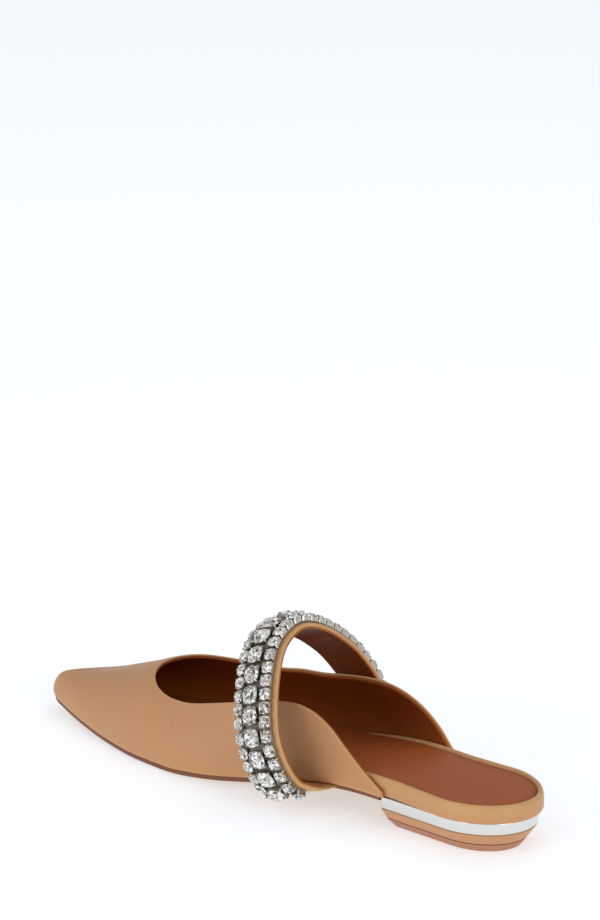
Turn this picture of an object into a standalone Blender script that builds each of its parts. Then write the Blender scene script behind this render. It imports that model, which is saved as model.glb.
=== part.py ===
"""Pointed flat mule with a jewelled strap over the instep, a right shoe that stands on its sole.

The origin is on the floor under the middle of the heel. +X points to the toe, +Y to the inner
(medial) side of the foot and +Z up. Lengths are in metres.
"""

import math

import bmesh
import bpy
from mathutils import Vector

MM = 0.001
GAP = 0.3 * MM  # left between pieces that meet

# The last: the foot-shaped form that the shoe is built on
SHOE_LENGTH = 262.0 * MM  # back of the heel to the tip of the toe
HEEL_BACK = 28.3 * MM  # origin to the back of the heel
BALL_WIDTH = 76.0 * MM  # widest breadth of the forefoot, outside the upper
HEEL_WIDTH = 48.0 * MM  # breadth of the heel seat
TIP_RADIUS = 9.0 * MM  # length over which the toe rounds off in plan
TIP_START = 0.968  # share of the length from which the sections crowd towards the tip
NOSE_SETBACK = 13.0 * MM  # how far the top of the toe lies behind its tip
SEAT_HEIGHT = 14.5 * MM  # floor to the underside of the footbed at the heel
INSTEP_HEIGHT = 76.0 * MM  # floor to the top of the last above the waist
TOE_SPRING = 5.5 * MM  # floor to the underside of the sole at the tip
TOE_SPRING_START = 0.73  # share of the length where the sole leaves the floor
BALL_REST = 0.66  # share of the length where the arch meets the floor
SEAT_END = 0.212  # share of the length where the heel seat ends and the arch begins

# The upper
WALL = 1.6 * MM  # outer leather and lining together
WALL_BULGE = 1.5  # brings a section's bulge to about its full size where it is greatest
THROAT = 0.757  # share of the length where the throat of the vamp lies
COLLAR_END = 0.221  # share of the length where the collar runs out at the footbed
COLLAR_END_HEIGHT = 2.0 * MM  # its height there above the feather edge

# The sole and the footbed
OUTSOLE_THICK = 2.2 * MM
OUTSOLE_INSET = 1.0 * MM  # the outsole's edge lies inside the upper's
OUTSOLE_BEVEL = 0.8 * MM
WAIST_INSET = 2.2 * MM  # the same at the waist, where the sole tucks in
FOOTBED_THICK = 6.0 * MM  # at the heel seat
FOREPART_THICK = 3.2 * MM  # at the ball and toes
FOOTBED_TAPER = (0.20, 0.60)  # shares of the length between which it thins
FOOTBED_EASE = 0.6 * MM  # its underside is this much smaller
NOSE_GAP = 2.5 * MM  # the footbed stops this much shorter inside the toe
RIM_CREST = 1.5 * MM  # the rolled rim is highest this far inside the footbed's edge
RIM_RISE = 1.0 * MM  # the rim stands this much higher than what the sock lies on
SOCK_INSET = 3.0 * MM  # the sock lies this far inside the footbed's edge
SOCK_THICK = 0.8 * MM
SOCK_ROUND = 0.5 * MM  # rounding of its upper edge

# The heel
BREAST = 32.5 * MM  # origin to the front face of the heel
BAND_OVERHANG = 1.9 * MM  # the footbed stands out this far over the metal band
BAND_HEIGHT = 4.9 * MM
TOP_PIECE_HEIGHT = 3.6 * MM
HEEL_CORNER = 1.5 * MM  # cut off the two front corners
HEEL_TAPER = 0.71  # inward slope of the heel block and the top piece
BREAST_LEAN = 0.75  # backward slope of the top piece's front face

# The strap
STRAP_WIDTH = 21.6 * MM
STRAP_THICK = 2.5 * MM
STRAP_CROWN = 1.1 * MM  # its outer face is higher along the middle than at its edges
STRAP_PLACE = 64.0 * MM  # origin to the plane of the strap's rear edge, at the floor
STRAP_LEAN = math.radians(17.7)  # the strap's top leans to the toe
STRAP_TURN = math.radians(9.6)  # its outer end lies nearer to the toe than its inner end
STRAP_EASE = 5.2 * MM  # the loop is wider than the ball of the last
STRAP_SPAN = BALL_WIDTH + STRAP_EASE
STRAP_LIFT = 0.4 * MM  # the loop is longer along its lean than the instep is high
STRAP_RISE = INSTEP_HEIGHT + STRAP_LIFT
STRAP_END_THICK = 1.2 * MM  # it is pared thin where it tucks in between the upper and the sole
STRAP_END_FLAT = 3.0 * MM  # over this length from each end
STRAP_END_LENGTH = 10.0 * MM  # it has its full thickness this far from each end
STRAP_TURN_BACK = 8.0 * MM  # its rear edge turns back this far towards the heel at each end
STRAP_TURN_LENGTH = 15.0 * MM  # over this length from each end
STRAP_CLEARANCE = 0.5 * MM  # between its ends and the outsole
STRAP_DRIFT_MEDIAL = 2.2 * MM  # the front edge lies this much further to the outer side of the foot
STRAP_DRIFT_LATERAL = 3.2 * MM

# The jewelled trim: a row of large cups between two rows of small ones
SMALL_PITCH = 5.45 * MM
LARGE_PITCH = SMALL_PITCH * 1.5  # two large cups are as long as three small ones
CUP_SPACING = 0.55 * MM  # between neighbouring small cups
SMALL_CUP = SMALL_PITCH - CUP_SPACING
LARGE_CUP = 7.4 * MM
CUP_HEIGHT = 2.1 * MM
STONE_RISE = 1.2 * MM
TRIM_GAP = 0.5 * MM  # between the strap and the cups, which are straighter than its bends
TRIM_BASE = 0.8 * MM  # the thin strip that the cups stand on
LINK_WIDTH = 2.4 * MM
ROW_SPACING = 6.8 * MM  # middle of the strap to the middle of a row of small cups
TRIM_START = 8.9 * MM  # bare length of the strap at each end

MEDIAL = 1.0
LATERAL = -1.0
STRAP_FLARE = {MEDIAL: 0.30, LATERAL: 0.60}  # below this share of its rise the loop follows the foot
FLARE_POWER = 0.7  # it does so more and more downwards
STRAP_BEND = {MEDIAL: 6.2 * MM, LATERAL: 4.2 * MM}  # the lower bend stands out from the upper's edge

# Sections of the last: "at" is a share of the length from the heel's back. "medial" and "lateral"
# are the breadths of the feather edge on each side of the foot's axis, as shares of the ball width.
LAST = (
    {"at": 0.000, "medial": 0.316, "lateral": 0.316},
    {"at": 0.108, "medial": 0.316, "lateral": 0.318},
    {"at": 0.222, "medial": 0.320, "lateral": 0.340},
    {"at": 0.326, "medial": 0.300, "lateral": 0.386},
    {"at": 0.414, "medial": 0.338, "lateral": 0.434},
    {"at": 0.490, "medial": 0.402, "lateral": 0.484},
    {"at": 0.566, "medial": 0.462, "lateral": 0.515},
    {"at": 0.636, "medial": 0.488, "lateral": 0.512},
    {"at": 0.707, "medial": 0.474, "lateral": 0.470},
    {"at": 0.810, "medial": 0.408, "lateral": 0.335},
    {"at": 0.906, "medial": 0.318, "lateral": 0.140},
    {"at": 0.966, "medial": 0.250, "lateral": 0.000},
    {"at": 1.000, "medial": 0.215, "lateral": -0.075},
)

# The ridge along the top of the last: its height as a share of the instep height, its place to the
# medial side and the bulge of each side wall as shares of the ball width, and how full the section is.
RIDGE = (
    {"at": 0.000, "height": 1.12, "place": 0.04, "medial": 0.05, "lateral": -0.06, "full": 0.75},
    {"at": 0.222, "height": 1.12, "place": 0.05, "medial": 0.05, "lateral": -0.06, "full": 0.75},
    {"at": 0.326, "height": 1.06, "place": 0.06, "medial": 0.07, "lateral": -0.09, "full": 0.75},
    {"at": 0.414, "height": 0.96, "place": 0.06, "medial": 0.05, "lateral": -0.115, "full": 0.75},
    {"at": 0.490, "height": 0.84, "place": 0.06, "medial": 0.015, "lateral": -0.14, "full": 0.78},
    {"at": 0.566, "height": 0.71, "place": 0.05, "medial": -0.037, "lateral": -0.075, "full": 0.82},
    {"at": 0.636, "height": 0.595, "place": 0.04, "medial": -0.03, "lateral": -0.03, "full": 0.86},
    {"at": 0.707, "height": 0.505, "place": 0.03, "medial": 0.00, "lateral": 0.01, "full": 0.90},
    {"at": 0.757, "height": 0.455, "place": 0.03, "medial": 0.01, "lateral": 0.02, "full": 0.92},
    {"at": 0.810, "height": 0.390, "place": 0.04, "medial": 0.01, "lateral": 0.02, "full": 0.92},
    {"at": 0.906, "height": 0.295, "place": 0.09, "medial": 0.01, "lateral": 0.02, "full": 0.85},
    {"at": 1.000, "height": 0.240, "place": 0.13, "medial": 0.00, "lateral": 0.00, "full": 0.75},
)

# The collar: how high each side is cut, as a share of the way up to the ridge.
COLLAR = (
    {"at": 0.221, "medial": 0.030, "lateral": 0.030},
    {"at": 0.240, "medial": 0.075, "lateral": 0.085},
    {"at": 0.262, "medial": 0.130, "lateral": 0.185},
    {"at": 0.300, "medial": 0.247, "lateral": 0.320},
    {"at": 0.332, "medial": 0.370, "lateral": 0.400},
    {"at": 0.365, "medial": 0.466, "lateral": 0.457},
    {"at": 0.394, "medial": 0.517, "lateral": 0.489},
    {"at": 0.433, "medial": 0.545, "lateral": 0.520},
    {"at": 0.480, "medial": 0.565, "lateral": 0.552},
    {"at": 0.526, "medial": 0.580, "lateral": 0.585},
    {"at": 0.566, "medial": 0.592, "lateral": 0.618},
    {"at": 0.608, "medial": 0.612, "lateral": 0.648},
    {"at": 0.658, "medial": 0.668, "lateral": 0.715},
    {"at": 0.700, "medial": 0.773, "lateral": 0.805},
    {"at": 0.730, "medial": 0.886, "lateral": 0.895},
    {"at": 0.757, "medial": 1.000, "lateral": 1.000},
)

# The strap's loop, seen along the foot: shares of its span to the medial side and of its rise.
# Its two ends lie beside the outsole and are worked out from the last.
STRAP_LOOP = (
    {"across": 0.413, "up": 0.169},
    {"across": 0.443, "up": 0.196},
    {"across": 0.484, "up": 0.255},
    {"across": 0.517, "up": 0.332},
    {"across": 0.537, "up": 0.428},
    {"across": 0.537, "up": 0.513},
    {"across": 0.516, "up": 0.602},
    {"across": 0.478, "up": 0.698},
    {"across": 0.434, "up": 0.784},
    {"across": 0.380, "up": 0.865},
    {"across": 0.322, "up": 0.924},
    {"across": 0.241, "up": 0.967},
    {"across": 0.141, "up": 0.986},
    {"across": 0.056, "up": 0.974},
    {"across": -0.037, "up": 0.935},
    {"across": -0.128, "up": 0.879},
    {"across": -0.212, "up": 0.811},
    {"across": -0.283, "up": 0.742},
    {"across": -0.339, "up": 0.669},
    {"across": -0.385, "up": 0.594},
    {"across": -0.422, "up": 0.516},
    {"across": -0.450, "up": 0.430},
    {"across": -0.466, "up": 0.333},
    {"across": -0.466, "up": 0.234},
)


def smooth_value(rows, column, at):
    """Reads a column of a table at a share, on a smooth curve that doesn't overshoot its rows."""
    if at <= rows[0]["at"]:
        return rows[0][column]
    if at >= rows[-1]["at"]:
        return rows[-1][column]
    last = len(rows) - 1
    index = next(i for i in range(last) if rows[i + 1]["at"] >= at)
    slopes = [
        (rows[i + 1][column] - rows[i][column]) / (rows[i + 1]["at"] - rows[i]["at"])
        for i in range(last)
    ]

    def tangent(i):
        if i == 0:
            return slopes[0]
        if i == last:
            return slopes[-1]
        before, after = slopes[i - 1], slopes[i]
        if before * after <= 0.0:
            return 0.0
        return 2.0 * before * after / (before + after)

    low, high = rows[index], rows[index + 1]
    width = high["at"] - low["at"]
    t = (at - low["at"]) / width
    return (
        (1 + 2 * t) * (1 - t) ** 2 * low[column]
        + t * (1 - t) ** 2 * width * tangent(index)
        + t * t * (3 - 2 * t) * high[column]
        + t * t * (t - 1) * width * tangent(index + 1)
    )


def smooth_point(points, t):
    """A point on the Catmull-Rom curve through the points, t from 0 to 1 in equal parts."""
    spans = len(points) - 1
    index = min(int(t * spans), spans - 1)
    f = t * spans - index
    p1, p2 = points[index], points[index + 1]
    p0 = points[index - 1] if index > 0 else 2 * p1 - p2
    p3 = points[index + 2] if index + 2 <= spans else 2 * p2 - p1
    return 0.5 * (
        2 * p1
        + (p2 - p0) * f
        + (2 * p0 - 5 * p1 + 4 * p2 - p3) * f**2
        + (3 * p1 - p0 - 3 * p2 + p3) * f**3
    )


def station_x(at):
    """X of a share of the shoe's length."""
    return at * SHOE_LENGTH - HEEL_BACK


def share_at(x):
    """Share of the shoe's length at an X."""
    return (x + HEEL_BACK) / SHOE_LENGTH


def end_rounding(at, heel_end=0.0, toe_end=1.0):
    """Factor that rounds the plan off at the back of the heel and at the tip of the toe."""
    toe_start = 1.0 - TIP_RADIUS / SHOE_LENGTH
    heel_start = HEEL_BACK / SHOE_LENGTH
    reach = 0.0
    if at > toe_start:
        reach = (at - toe_start) / (toe_end - toe_start)
    elif at < heel_start:
        reach = (heel_start - at) / (heel_start - heel_end)
    return math.sqrt(max(0.0, 1.0 - reach * reach))


def edge_y(side, at, inset=0.0, heel_end=0.0, toe_end=1.0):
    """Y of the feather edge on one side, moved inwards by an inset."""
    medial = smooth_value(LAST, "medial", at) * BALL_WIDTH
    lateral = -smooth_value(LAST, "lateral", at) * BALL_WIDTH
    half = (medial - lateral) / 2 - inset
    return (medial + lateral) / 2 + side * half * end_rounding(at, heel_end, toe_end)


def plan_ring(inset, height, start=None, steps=30):
    """Points round the plan: along the medial side to the tip and back along the lateral side.

    inset and height are functions of the share of the length. A start share cuts the plan off
    square there; without one the ring goes round the heel too.
    """
    first = inset(0.0) / SHOE_LENGTH if start is None else start
    heel_end = inset(0.0) / SHOE_LENGTH
    toe_end = 1.0 - inset(1.0) / SHOE_LENGTH
    points = []
    for side in (MEDIAL, LATERAL):
        order = range(steps + 1) if side > 0 else range(steps - 1, -1, -1)
        for i in order:
            if side < 0 and i == 0 and start is None:
                continue
            t = 0.5 - 0.5 * math.cos(math.pi * i / steps)
            if start is not None:
                t = math.sin(math.pi / 2 * i / steps)
            at = first + (toe_end - first) * t
            y = edge_y(side, at, inset(at), heel_end, toe_end)
            points.append(Vector((station_x(at), y, height(at))))
    return points


def sole_bottom(at):
    """Height of the underside of the sole above the floor: heel seat, arch, ball and toe spring."""
    seat = SEAT_HEIGHT - OUTSOLE_THICK - GAP
    if at < SEAT_END:
        return seat
    if at < BALL_REST:
        t = (at - SEAT_END) / (BALL_REST - SEAT_END)
        return seat * (0.5 + 0.5 * math.cos(math.pi * t))
    if at < TOE_SPRING_START:
        return 0.0
    t = (at - TOE_SPRING_START) / (1.0 - TOE_SPRING_START)
    return TOE_SPRING * t**1.8


def feather_height(at):
    """Height of the lower edge of the upper, and of the underside of the footbed."""
    return sole_bottom(at) + OUTSOLE_THICK + GAP


def last_point(side, at, climb):
    """A point of the upper's outer surface. climb is 0 at the feather edge and 1 at the ridge."""
    setback = NOSE_SETBACK * max(0.0, (at - THROAT) / (1.0 - THROAT)) ** 2
    ridge_at = at - setback / SHOE_LENGTH
    foot = Vector((station_x(at), edge_y(side, at), feather_height(at)))
    top = Vector(
        (
            station_x(ridge_at),
            smooth_value(RIDGE, "place", at) * BALL_WIDTH,
            smooth_value(RIDGE, "height", at) * INSTEP_HEIGHT,
        )
    )
    name = "medial" if side > 0 else "lateral"
    bulge = smooth_value(RIDGE, name, at) * BALL_WIDTH * side
    full = smooth_value(RIDGE, "full", at)
    angle = climb * math.pi / 2
    inward = 1.0 - math.cos(angle) ** full
    upward = math.sin(angle)
    return Vector(
        (
            foot.x + (top.x - foot.x) * inward,
            foot.y + (top.y - foot.y) * inward + bulge * WALL_BULGE * math.sin(2 * angle) * upward,
            foot.z + (top.z - foot.z) * upward,
        )
    )


def collar_climb(side, at):
    """How far the wall climbs at a station: to the ridge on the vamp, to the collar behind it."""
    if at >= THROAT:
        return 1.0
    name = "medial" if side > 0 else "lateral"
    rise = smooth_value(COLLAR, name, at)
    ridge = smooth_value(RIDGE, "height", at) * INSTEP_HEIGHT - feather_height(at)
    rise = max(rise, COLLAR_END_HEIGHT / ridge)
    return math.asin(min(1.0, rise)) / (math.pi / 2)


def upper_stations():
    """Shares of the length for the upper's sections, closer together at the throat and the tip."""
    spans = (
        (COLLAR_END, 0.48, 12),
        (0.48, 0.70, 7),
        (0.70, THROAT, 6),
        (THROAT, 0.90, 5),
        (0.90, TIP_START, 3),
    )
    found = [start + (end - start) * i / steps for start, end, steps in spans for i in range(steps)]
    steps = 7
    for i in range(steps + 1):
        found.append(TIP_START + (1.0 - TIP_START) * math.sin(i / steps * math.pi / 2))
    return found


def new_object(name, bm, material, collection):
    """Turns a bmesh into a shaded object of the shoe's collection."""
    mesh = bpy.data.meshes.new(name)
    bm.to_mesh(mesh)
    bm.free()
    mesh.shade_smooth()
    mesh.set_sharp_from_angle(angle=math.radians(40))
    mesh.materials.append(material)
    obj = bpy.data.objects.new(name, mesh)
    collection.objects.link(obj)
    return obj


def make_material(name, colour, roughness, metallic=0.0):
    """A Principled material with one plain colour."""
    material = bpy.data.materials.new(name)
    material.use_nodes = True
    shader = material.node_tree.nodes["Principled BSDF"]
    shader.inputs["Base Color"].default_value = (*colour, 1.0)
    shader.inputs["Roughness"].default_value = roughness
    shader.inputs["Metallic"].default_value = metallic
    return material


def loft(rings, ladder=False):
    """Joins rings of points into one closed surface.

    The ends are closed by one flat face each, or on a ring of the plan by a ladder of faces from
    the medial to the lateral side, which keeps to the curve of the last.
    """
    bm = bmesh.new()
    rows = [[bm.verts.new(point) for point in ring] for ring in rings]
    count = len(rows[0])
    for low, high in zip(rows, rows[1:]):
        for i in range(count):
            j = (i + 1) % count
            bm.faces.new((low[i], low[j], high[j], high[i]))
    for row in (rows[0], rows[-1]):
        if not ladder:
            bm.faces.new(row)
            continue
        tip = count // 2
        for i in range(tip):
            corners = [row[i], row[i + 1], row[2 * tip - i - 1], row[(2 * tip - i) % count]]
            bm.faces.new(list(dict.fromkeys(corners)))
    bmesh.ops.remove_doubles(bm, verts=bm.verts, dist=0.00002)
    bmesh.ops.recalc_face_normals(bm, faces=bm.faces)
    if bm.calc_volume(signed=True) < 0.0:
        bmesh.ops.reverse_faces(bm, faces=bm.faces)
    return bm


def build_upper(collection, material):
    """The hollow upper: one sheet up both sides and over the vamp, thickened inwards."""
    steps = 9
    stations = upper_stations()
    bm = bmesh.new()
    for side in (MEDIAL, LATERAL):
        grid = []
        for at in stations:
            climb = collar_climb(side, at)
            grid.append([bm.verts.new(last_point(side, at, climb * j / steps)) for j in range(steps + 1)])
        for low, high in zip(grid, grid[1:]):
            for j in range(steps):
                bm.faces.new((low[j], high[j], high[j + 1], low[j + 1]))
    bmesh.ops.remove_doubles(bm, verts=bm.verts, dist=0.00002)
    bmesh.ops.recalc_face_normals(bm, faces=bm.faces)
    outward = sum(face.normal.z * face.calc_area() for face in bm.faces)
    if outward < 0:
        bmesh.ops.reverse_faces(bm, faces=bm.faces)
    upper = new_object("upper", bm, material, collection)
    wall = upper.modifiers.new("wall", "SOLIDIFY")
    wall.thickness = WALL
    wall.offset = -1.0
    wall.use_even_offset = True
    return upper


def outsole_inset(at):
    """How far the outsole's edge lies inside the upper's: most at the waist."""
    waist = max(0.0, (BALL_REST - at) / (BALL_REST - COLLAR_END))
    return OUTSOLE_INSET + (WAIST_INSET - OUTSOLE_INSET) * min(1.0, waist)


def build_outsole(collection, material):
    """The thin outsole from the toe to the heel's front face, with a bevelled lower edge."""
    start = share_at(BREAST + GAP)

    def ring(extra, rise):
        def height(at):
            return sole_bottom(at) + rise

        return plan_ring(lambda at: outsole_inset(at) + extra, height, start, 26)

    rings = [ring(OUTSOLE_BEVEL, 0.0), ring(0.0, OUTSOLE_BEVEL), ring(0.0, OUTSOLE_THICK)]
    return new_object("outsole", loft(rings, ladder=True), material, collection)


def footbed_inset(at):
    """The footbed shows its whole edge at the heel, and lies inside the upper in front of it."""
    start, end = share_at(0.0), COLLAR_END - 0.02
    t = min(1.0, max(0.0, (at - start) / (end - start)))
    toe = max(0.0, (at - THROAT) / (1.0 - THROAT))
    return (WALL + GAP * 2) * t + NOSE_GAP * toe * toe


def footbed_thickness(at):
    """Thick at the heel seat, thinner at the ball and toes."""
    start, end = FOOTBED_TAPER
    t = min(1.0, max(0.0, (at - start) / (end - start)))
    return FOOTBED_THICK + (FOREPART_THICK - FOOTBED_THICK) * t * t * (3 - 2 * t)


def footbed_ring(extra, level, rise=0.0):
    """Points round the footbed. level is a share of its thickness."""

    def height(at):
        return feather_height(at) + footbed_thickness(at) * level + rise

    return plan_ring(lambda at: footbed_inset(at) + extra, height)


def build_footbed(collection, material):
    """The wrapped footbed with its rolled upper edge."""
    rings = [
        footbed_ring(FOOTBED_EASE, 0.0),
        footbed_ring(0.0, 0.15),
        footbed_ring(0.0, 0.70),
        footbed_ring(RIM_CREST * 0.3, 1.0, RIM_RISE * 0.55),
        footbed_ring(RIM_CREST, 1.0, RIM_RISE),
        footbed_ring(SOCK_INSET - GAP, 1.0),
    ]
    return new_object("footbed", loft(rings, ladder=True), material, collection)


def build_sock(collection, material):
    """The sock: the thin brown leather on top of the footbed."""
    rings = [
        footbed_ring(SOCK_INSET, 1.0, GAP),
        footbed_ring(SOCK_INSET, 1.0, GAP + SOCK_THICK * 0.6),
        footbed_ring(SOCK_INSET + SOCK_ROUND, 1.0, GAP + SOCK_THICK),
    ]
    return new_object("sock", loft(rings, ladder=True), material, collection)


def heel_ring(inset, height, front):
    """Points round the heel at one height, from the front face round the back and forward again."""
    steps = 18
    half = HEEL_WIDTH / 2 - inset
    back = HEEL_BACK - inset
    corner = HEEL_CORNER
    points = [Vector((front, half - corner, height)), Vector((front - corner, half, height))]
    points.append(Vector((front * 0.5, half, height)))
    for i in range(steps + 1):
        angle = math.pi / 2 + math.pi * i / steps
        points.append(Vector((back * math.cos(angle), half * math.sin(angle), height)))
    points.append(Vector((front * 0.5, -half, height)))
    points += [Vector((front - corner, -half, height)), Vector((front, -half + corner, height))]
    return points


def build_heel(collection, band_material, block_material, top_material):
    """The three layers of the low heel: metal band, wrapped block and top piece."""
    band_top = SEAT_HEIGHT - GAP
    band_low = band_top - BAND_HEIGHT
    block_top = band_low - GAP
    block_low = TOP_PIECE_HEIGHT + GAP

    def layer(name, high, low, taper, material):
        def inset(height):
            return BAND_OVERHANG + (block_top - height) * taper

        def front(height):
            return BREAST - max(0.0, TOP_PIECE_HEIGHT - height) * BREAST_LEAN

        rings = [heel_ring(inset(z), z, front(z)) for z in (low, high)]
        return new_object(name, loft(rings), material, collection)

    layer("heel_band", band_top, band_low, 0.0, band_material)
    layer("heel_block", block_top, block_low, HEEL_TAPER, block_material)
    layer("heel_top_piece", TOP_PIECE_HEIGHT, 0.0, HEEL_TAPER, top_material)


def strap_axes():
    """The strap's own axes: up its lean, along its width to the toe, and a step to the medial side."""
    lean, turn = math.tan(STRAP_LEAN), math.tan(STRAP_TURN)
    up = Vector((lean, 0.0, 1.0)).normalized()
    width = Vector((1.0, turn, -lean)).normalized()
    return up, width, Vector((-turn, 1.0, 0.0))


def turned_back(offset, distance):
    """How far a line of the strap is turned back to the heel: most at its rear edge and its ends."""
    rear = max(0.0, 1.0 - offset * 2 / STRAP_WIDTH) ** 2
    near = max(0.0, 1.0 - distance / STRAP_TURN_LENGTH)
    return STRAP_TURN_BACK * rear * near


def strap_ends(offset, back=0.0):
    """Where the strap's outer face ends between upper and outsole, and the bend beside the upper.

    back moves the end to the heel along the strap's width, and the bend half as far.
    """
    up, width, across = strap_axes()
    ends = {}
    for side in (MEDIAL, LATERAL):
        found = []
        for moved, on_sole in ((back, True), (back / 2, False)):
            start = Vector((STRAP_PLACE, 0.0, 0.0)) + width * (offset - moved)
            point = start
            for _ in range(8):
                at = share_at(point.x)
                aside = edge_y(side, at) + side * STRAP_BEND[side]
                if on_sole:
                    aside = edge_y(side, at, outsole_inset(at)) + side * STRAP_CLEARANCE
                height = feather_height(at) - GAP - STRAP_END_THICK
                point = start + up * ((height - start.z) / up.z) + across * (aside - start.y)
            found.append(point)
        ends[side] = found
    return ends


def strap_line(offset):
    """Points along the strap's outer face, medial end first, at an offset from its rear edge."""
    up, width, across = strap_axes()
    start = Vector((STRAP_PLACE, 0.0, 0.0)) + width * offset
    ends, rear_ends = strap_ends(offset), strap_ends(0.0)
    loop = []
    for row in STRAP_LOOP:
        side = MEDIAL if row["across"] > 0 else LATERAL
        near = max(0.0, 1.0 - row["up"] / STRAP_FLARE[side]) ** FLARE_POWER
        here, rear = ends[side][0], rear_ends[side][0]
        drop = (here.z - rear.z - (width * offset).z) * near / up.z
        medial = 0.5 + max(-0.5, min(0.5, row["across"]))
        drift = STRAP_DRIFT_LATERAL + (STRAP_DRIFT_MEDIAL - STRAP_DRIFT_LATERAL) * medial
        drift *= -offset / STRAP_WIDTH
        aside = row["across"] * STRAP_SPAN + drift
        aside += (here.y - rear.y - (width * offset).y - drift) * near
        point = start + up * (row["up"] * STRAP_RISE + drop) + across * aside
        loop.append(point - width * turned_back(offset, (point - here).length))
    ends = strap_ends(offset, turned_back(offset, 0.0))
    return [*ends[MEDIAL], *loop, *reversed(ends[LATERAL])]


def strap_crown(offset):
    """How far the outer face stands out at an offset from the rear edge: most along the middle."""
    share = offset / STRAP_WIDTH * 2 - 1
    return STRAP_CROWN * (1 - share * share)


def strap_place(line, t):
    """Place and outward normal on one line of the strap's outer face."""
    step = 0.002
    ahead = smooth_point(line, min(1.0, t + step))
    behind = smooth_point(line, max(0.0, t - step))
    tangent = (ahead - behind).normalized()
    normal = tangent.cross(strap_axes()[1]).normalized()
    return smooth_point(line, t), normal


def strap_fullness(line, place):
    """Thickness of the strap at a place as a share of its full thickness: pared thin at both ends."""
    near = min((place - line[0]).length, (place - line[-1]).length)
    t = min(1.0, max(0.0, (near - STRAP_END_FLAT) / (STRAP_END_LENGTH - STRAP_END_FLAT)))
    least = STRAP_END_THICK / STRAP_THICK
    return least + (1.0 - least) * t * t * (3 - 2 * t)


def build_strap(collection, material):
    """The leather strap: a flat band with rolled edges, from one feather edge over to the other."""
    steps = 44
    thick, width = STRAP_THICK, STRAP_WIDTH
    roll = STRAP_THICK / 2
    middle = width / 2
    top = [roll, middle - ROW_SPACING, middle, middle + ROW_SPACING, width - roll]
    section = (
        (roll, -thick),
        (roll * 0.3, -thick * 0.85),
        (0.0, -thick * 0.5),
        (roll * 0.3, -thick * 0.15),
        *((along, strap_crown(along)) for along in top),
        (width - roll * 0.3, -thick * 0.15),
        (width, -thick * 0.5),
        (width - roll * 0.3, -thick * 0.85),
        (width - roll, -thick),
    )
    lines = [strap_line(along) for along, _ in section]
    rings = []
    for i in range(steps + 1):
        ring = []
        for line, (_, out) in zip(lines, section):
            place, normal = strap_place(line, i / steps)
            ring.append(place + normal * (out * strap_fullness(line, place) if out < 0 else out))
        rings.append(ring)
    return new_object("strap", loft(rings), material, collection)


def evenly_spaced(line, pitch):
    """Number of cups of one pitch that fit along the strap, and a function from a place to t.

    A place counts pitches from the row's start. Every row is measured along the strap's middle, so
    that their cups line up: a row of large cups starts half the difference of the pitches later.
    """
    samples = 600
    points = [smooth_point(line, i / samples) for i in range(samples + 1)]
    travelled = [0.0]
    for low, high in zip(points, points[1:]):
        travelled.append(travelled[-1] + (high - low).length)
    start = TRIM_START + (pitch - SMALL_PITCH) / 2
    count = math.floor((travelled[-1] - TRIM_START - start) / pitch)

    def t_at(place):
        length = start + place * pitch
        index = next(i for i in range(1, samples + 1) if travelled[i] >= length or i == samples)
        part = (length - travelled[index - 1]) / (travelled[index] - travelled[index - 1])
        return (index - 1 + part) / samples

    return count, t_at


def build_trim_row(name, along, pitch, cup, collection, material):
    """One row of the trim: square cups with pointed stones, joined by a narrow strip."""
    half, link = cup / 2, LINK_WIDTH / 2
    sides = (-half, -link, 0.0, link, half)
    lines = {x: strap_line(along + x) for x in sides}
    rise = {x: strap_crown(along + x) for x in sides}
    count, t_at = evenly_spaced(strap_line(STRAP_WIDTH / 2), pitch)
    cut = (1.0 - cup / pitch) / 2
    base, low, high = TRIM_GAP, TRIM_GAP + TRIM_BASE, TRIM_GAP + CUP_HEIGHT
    rings = []

    def ring(place, side, height, peak):
        t = t_at(place)
        ring_points = []
        edge = ((-side, base), (-side, height), (0.0, peak), (side, height), (side, base), (0.0, base))
        for x, out in edge:
            point, normal = strap_place(lines[x], t)
            ring_points.append(point + normal * (out + rise[x]))
        rings.append(ring_points)

    for i in range(count):
        ring(i + cut, link, low, low)
        ring(i + cut, half, high, high)
        ring(i + 0.5, half, high, high + STONE_RISE)
        ring(i + 1 - cut, half, high, high)
        ring(i + 1 - cut, link, low, low)
    return new_object(name, loft(rings), material, collection)


def main():
    for obj in list(bpy.data.objects):
        bpy.data.objects.remove(obj)
    collection = bpy.data.collections.new("mule")
    bpy.context.scene.collection.children.link(collection)
    tan = make_material("tan_leather", (0.49, 0.26, 0.12), 0.45)
    brown = make_material("brown_lining", (0.19, 0.055, 0.018), 0.5)
    sole = make_material("sole_brown", (0.20, 0.10, 0.06), 0.6)
    metal = make_material("mirror_metal", (0.85, 0.85, 0.84), 0.08, 1.0)
    rubber = make_material("top_piece_rubber", (0.42, 0.22, 0.14), 0.6)
    crystal = make_material("crystal", (0.80, 0.82, 0.84), 0.05)
    build_upper(collection, tan)
    build_outsole(collection, sole)
    build_footbed(collection, tan)
    build_sock(collection, brown)
    build_heel(collection, metal, tan, rubber)
    build_strap(collection, tan)
    middle = STRAP_WIDTH / 2
    build_trim_row("trim_row_rear", middle - ROW_SPACING, SMALL_PITCH, SMALL_CUP, collection, crystal)
    build_trim_row("trim_row_middle", middle, LARGE_PITCH, LARGE_CUP, collection, crystal)
    build_trim_row("trim_row_front", middle + ROW_SPACING, SMALL_PITCH, SMALL_CUP, collection, crystal)


main()
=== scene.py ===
"""Looks of a pointed flat mule with a jewelled strap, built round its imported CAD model.

Lengths are in metres in the CAD model's frame: the origin is on the floor under the middle of the
heel, +X points to the toe, +Y to the inner (medial) side of the foot and +Z up.
"""

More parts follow.
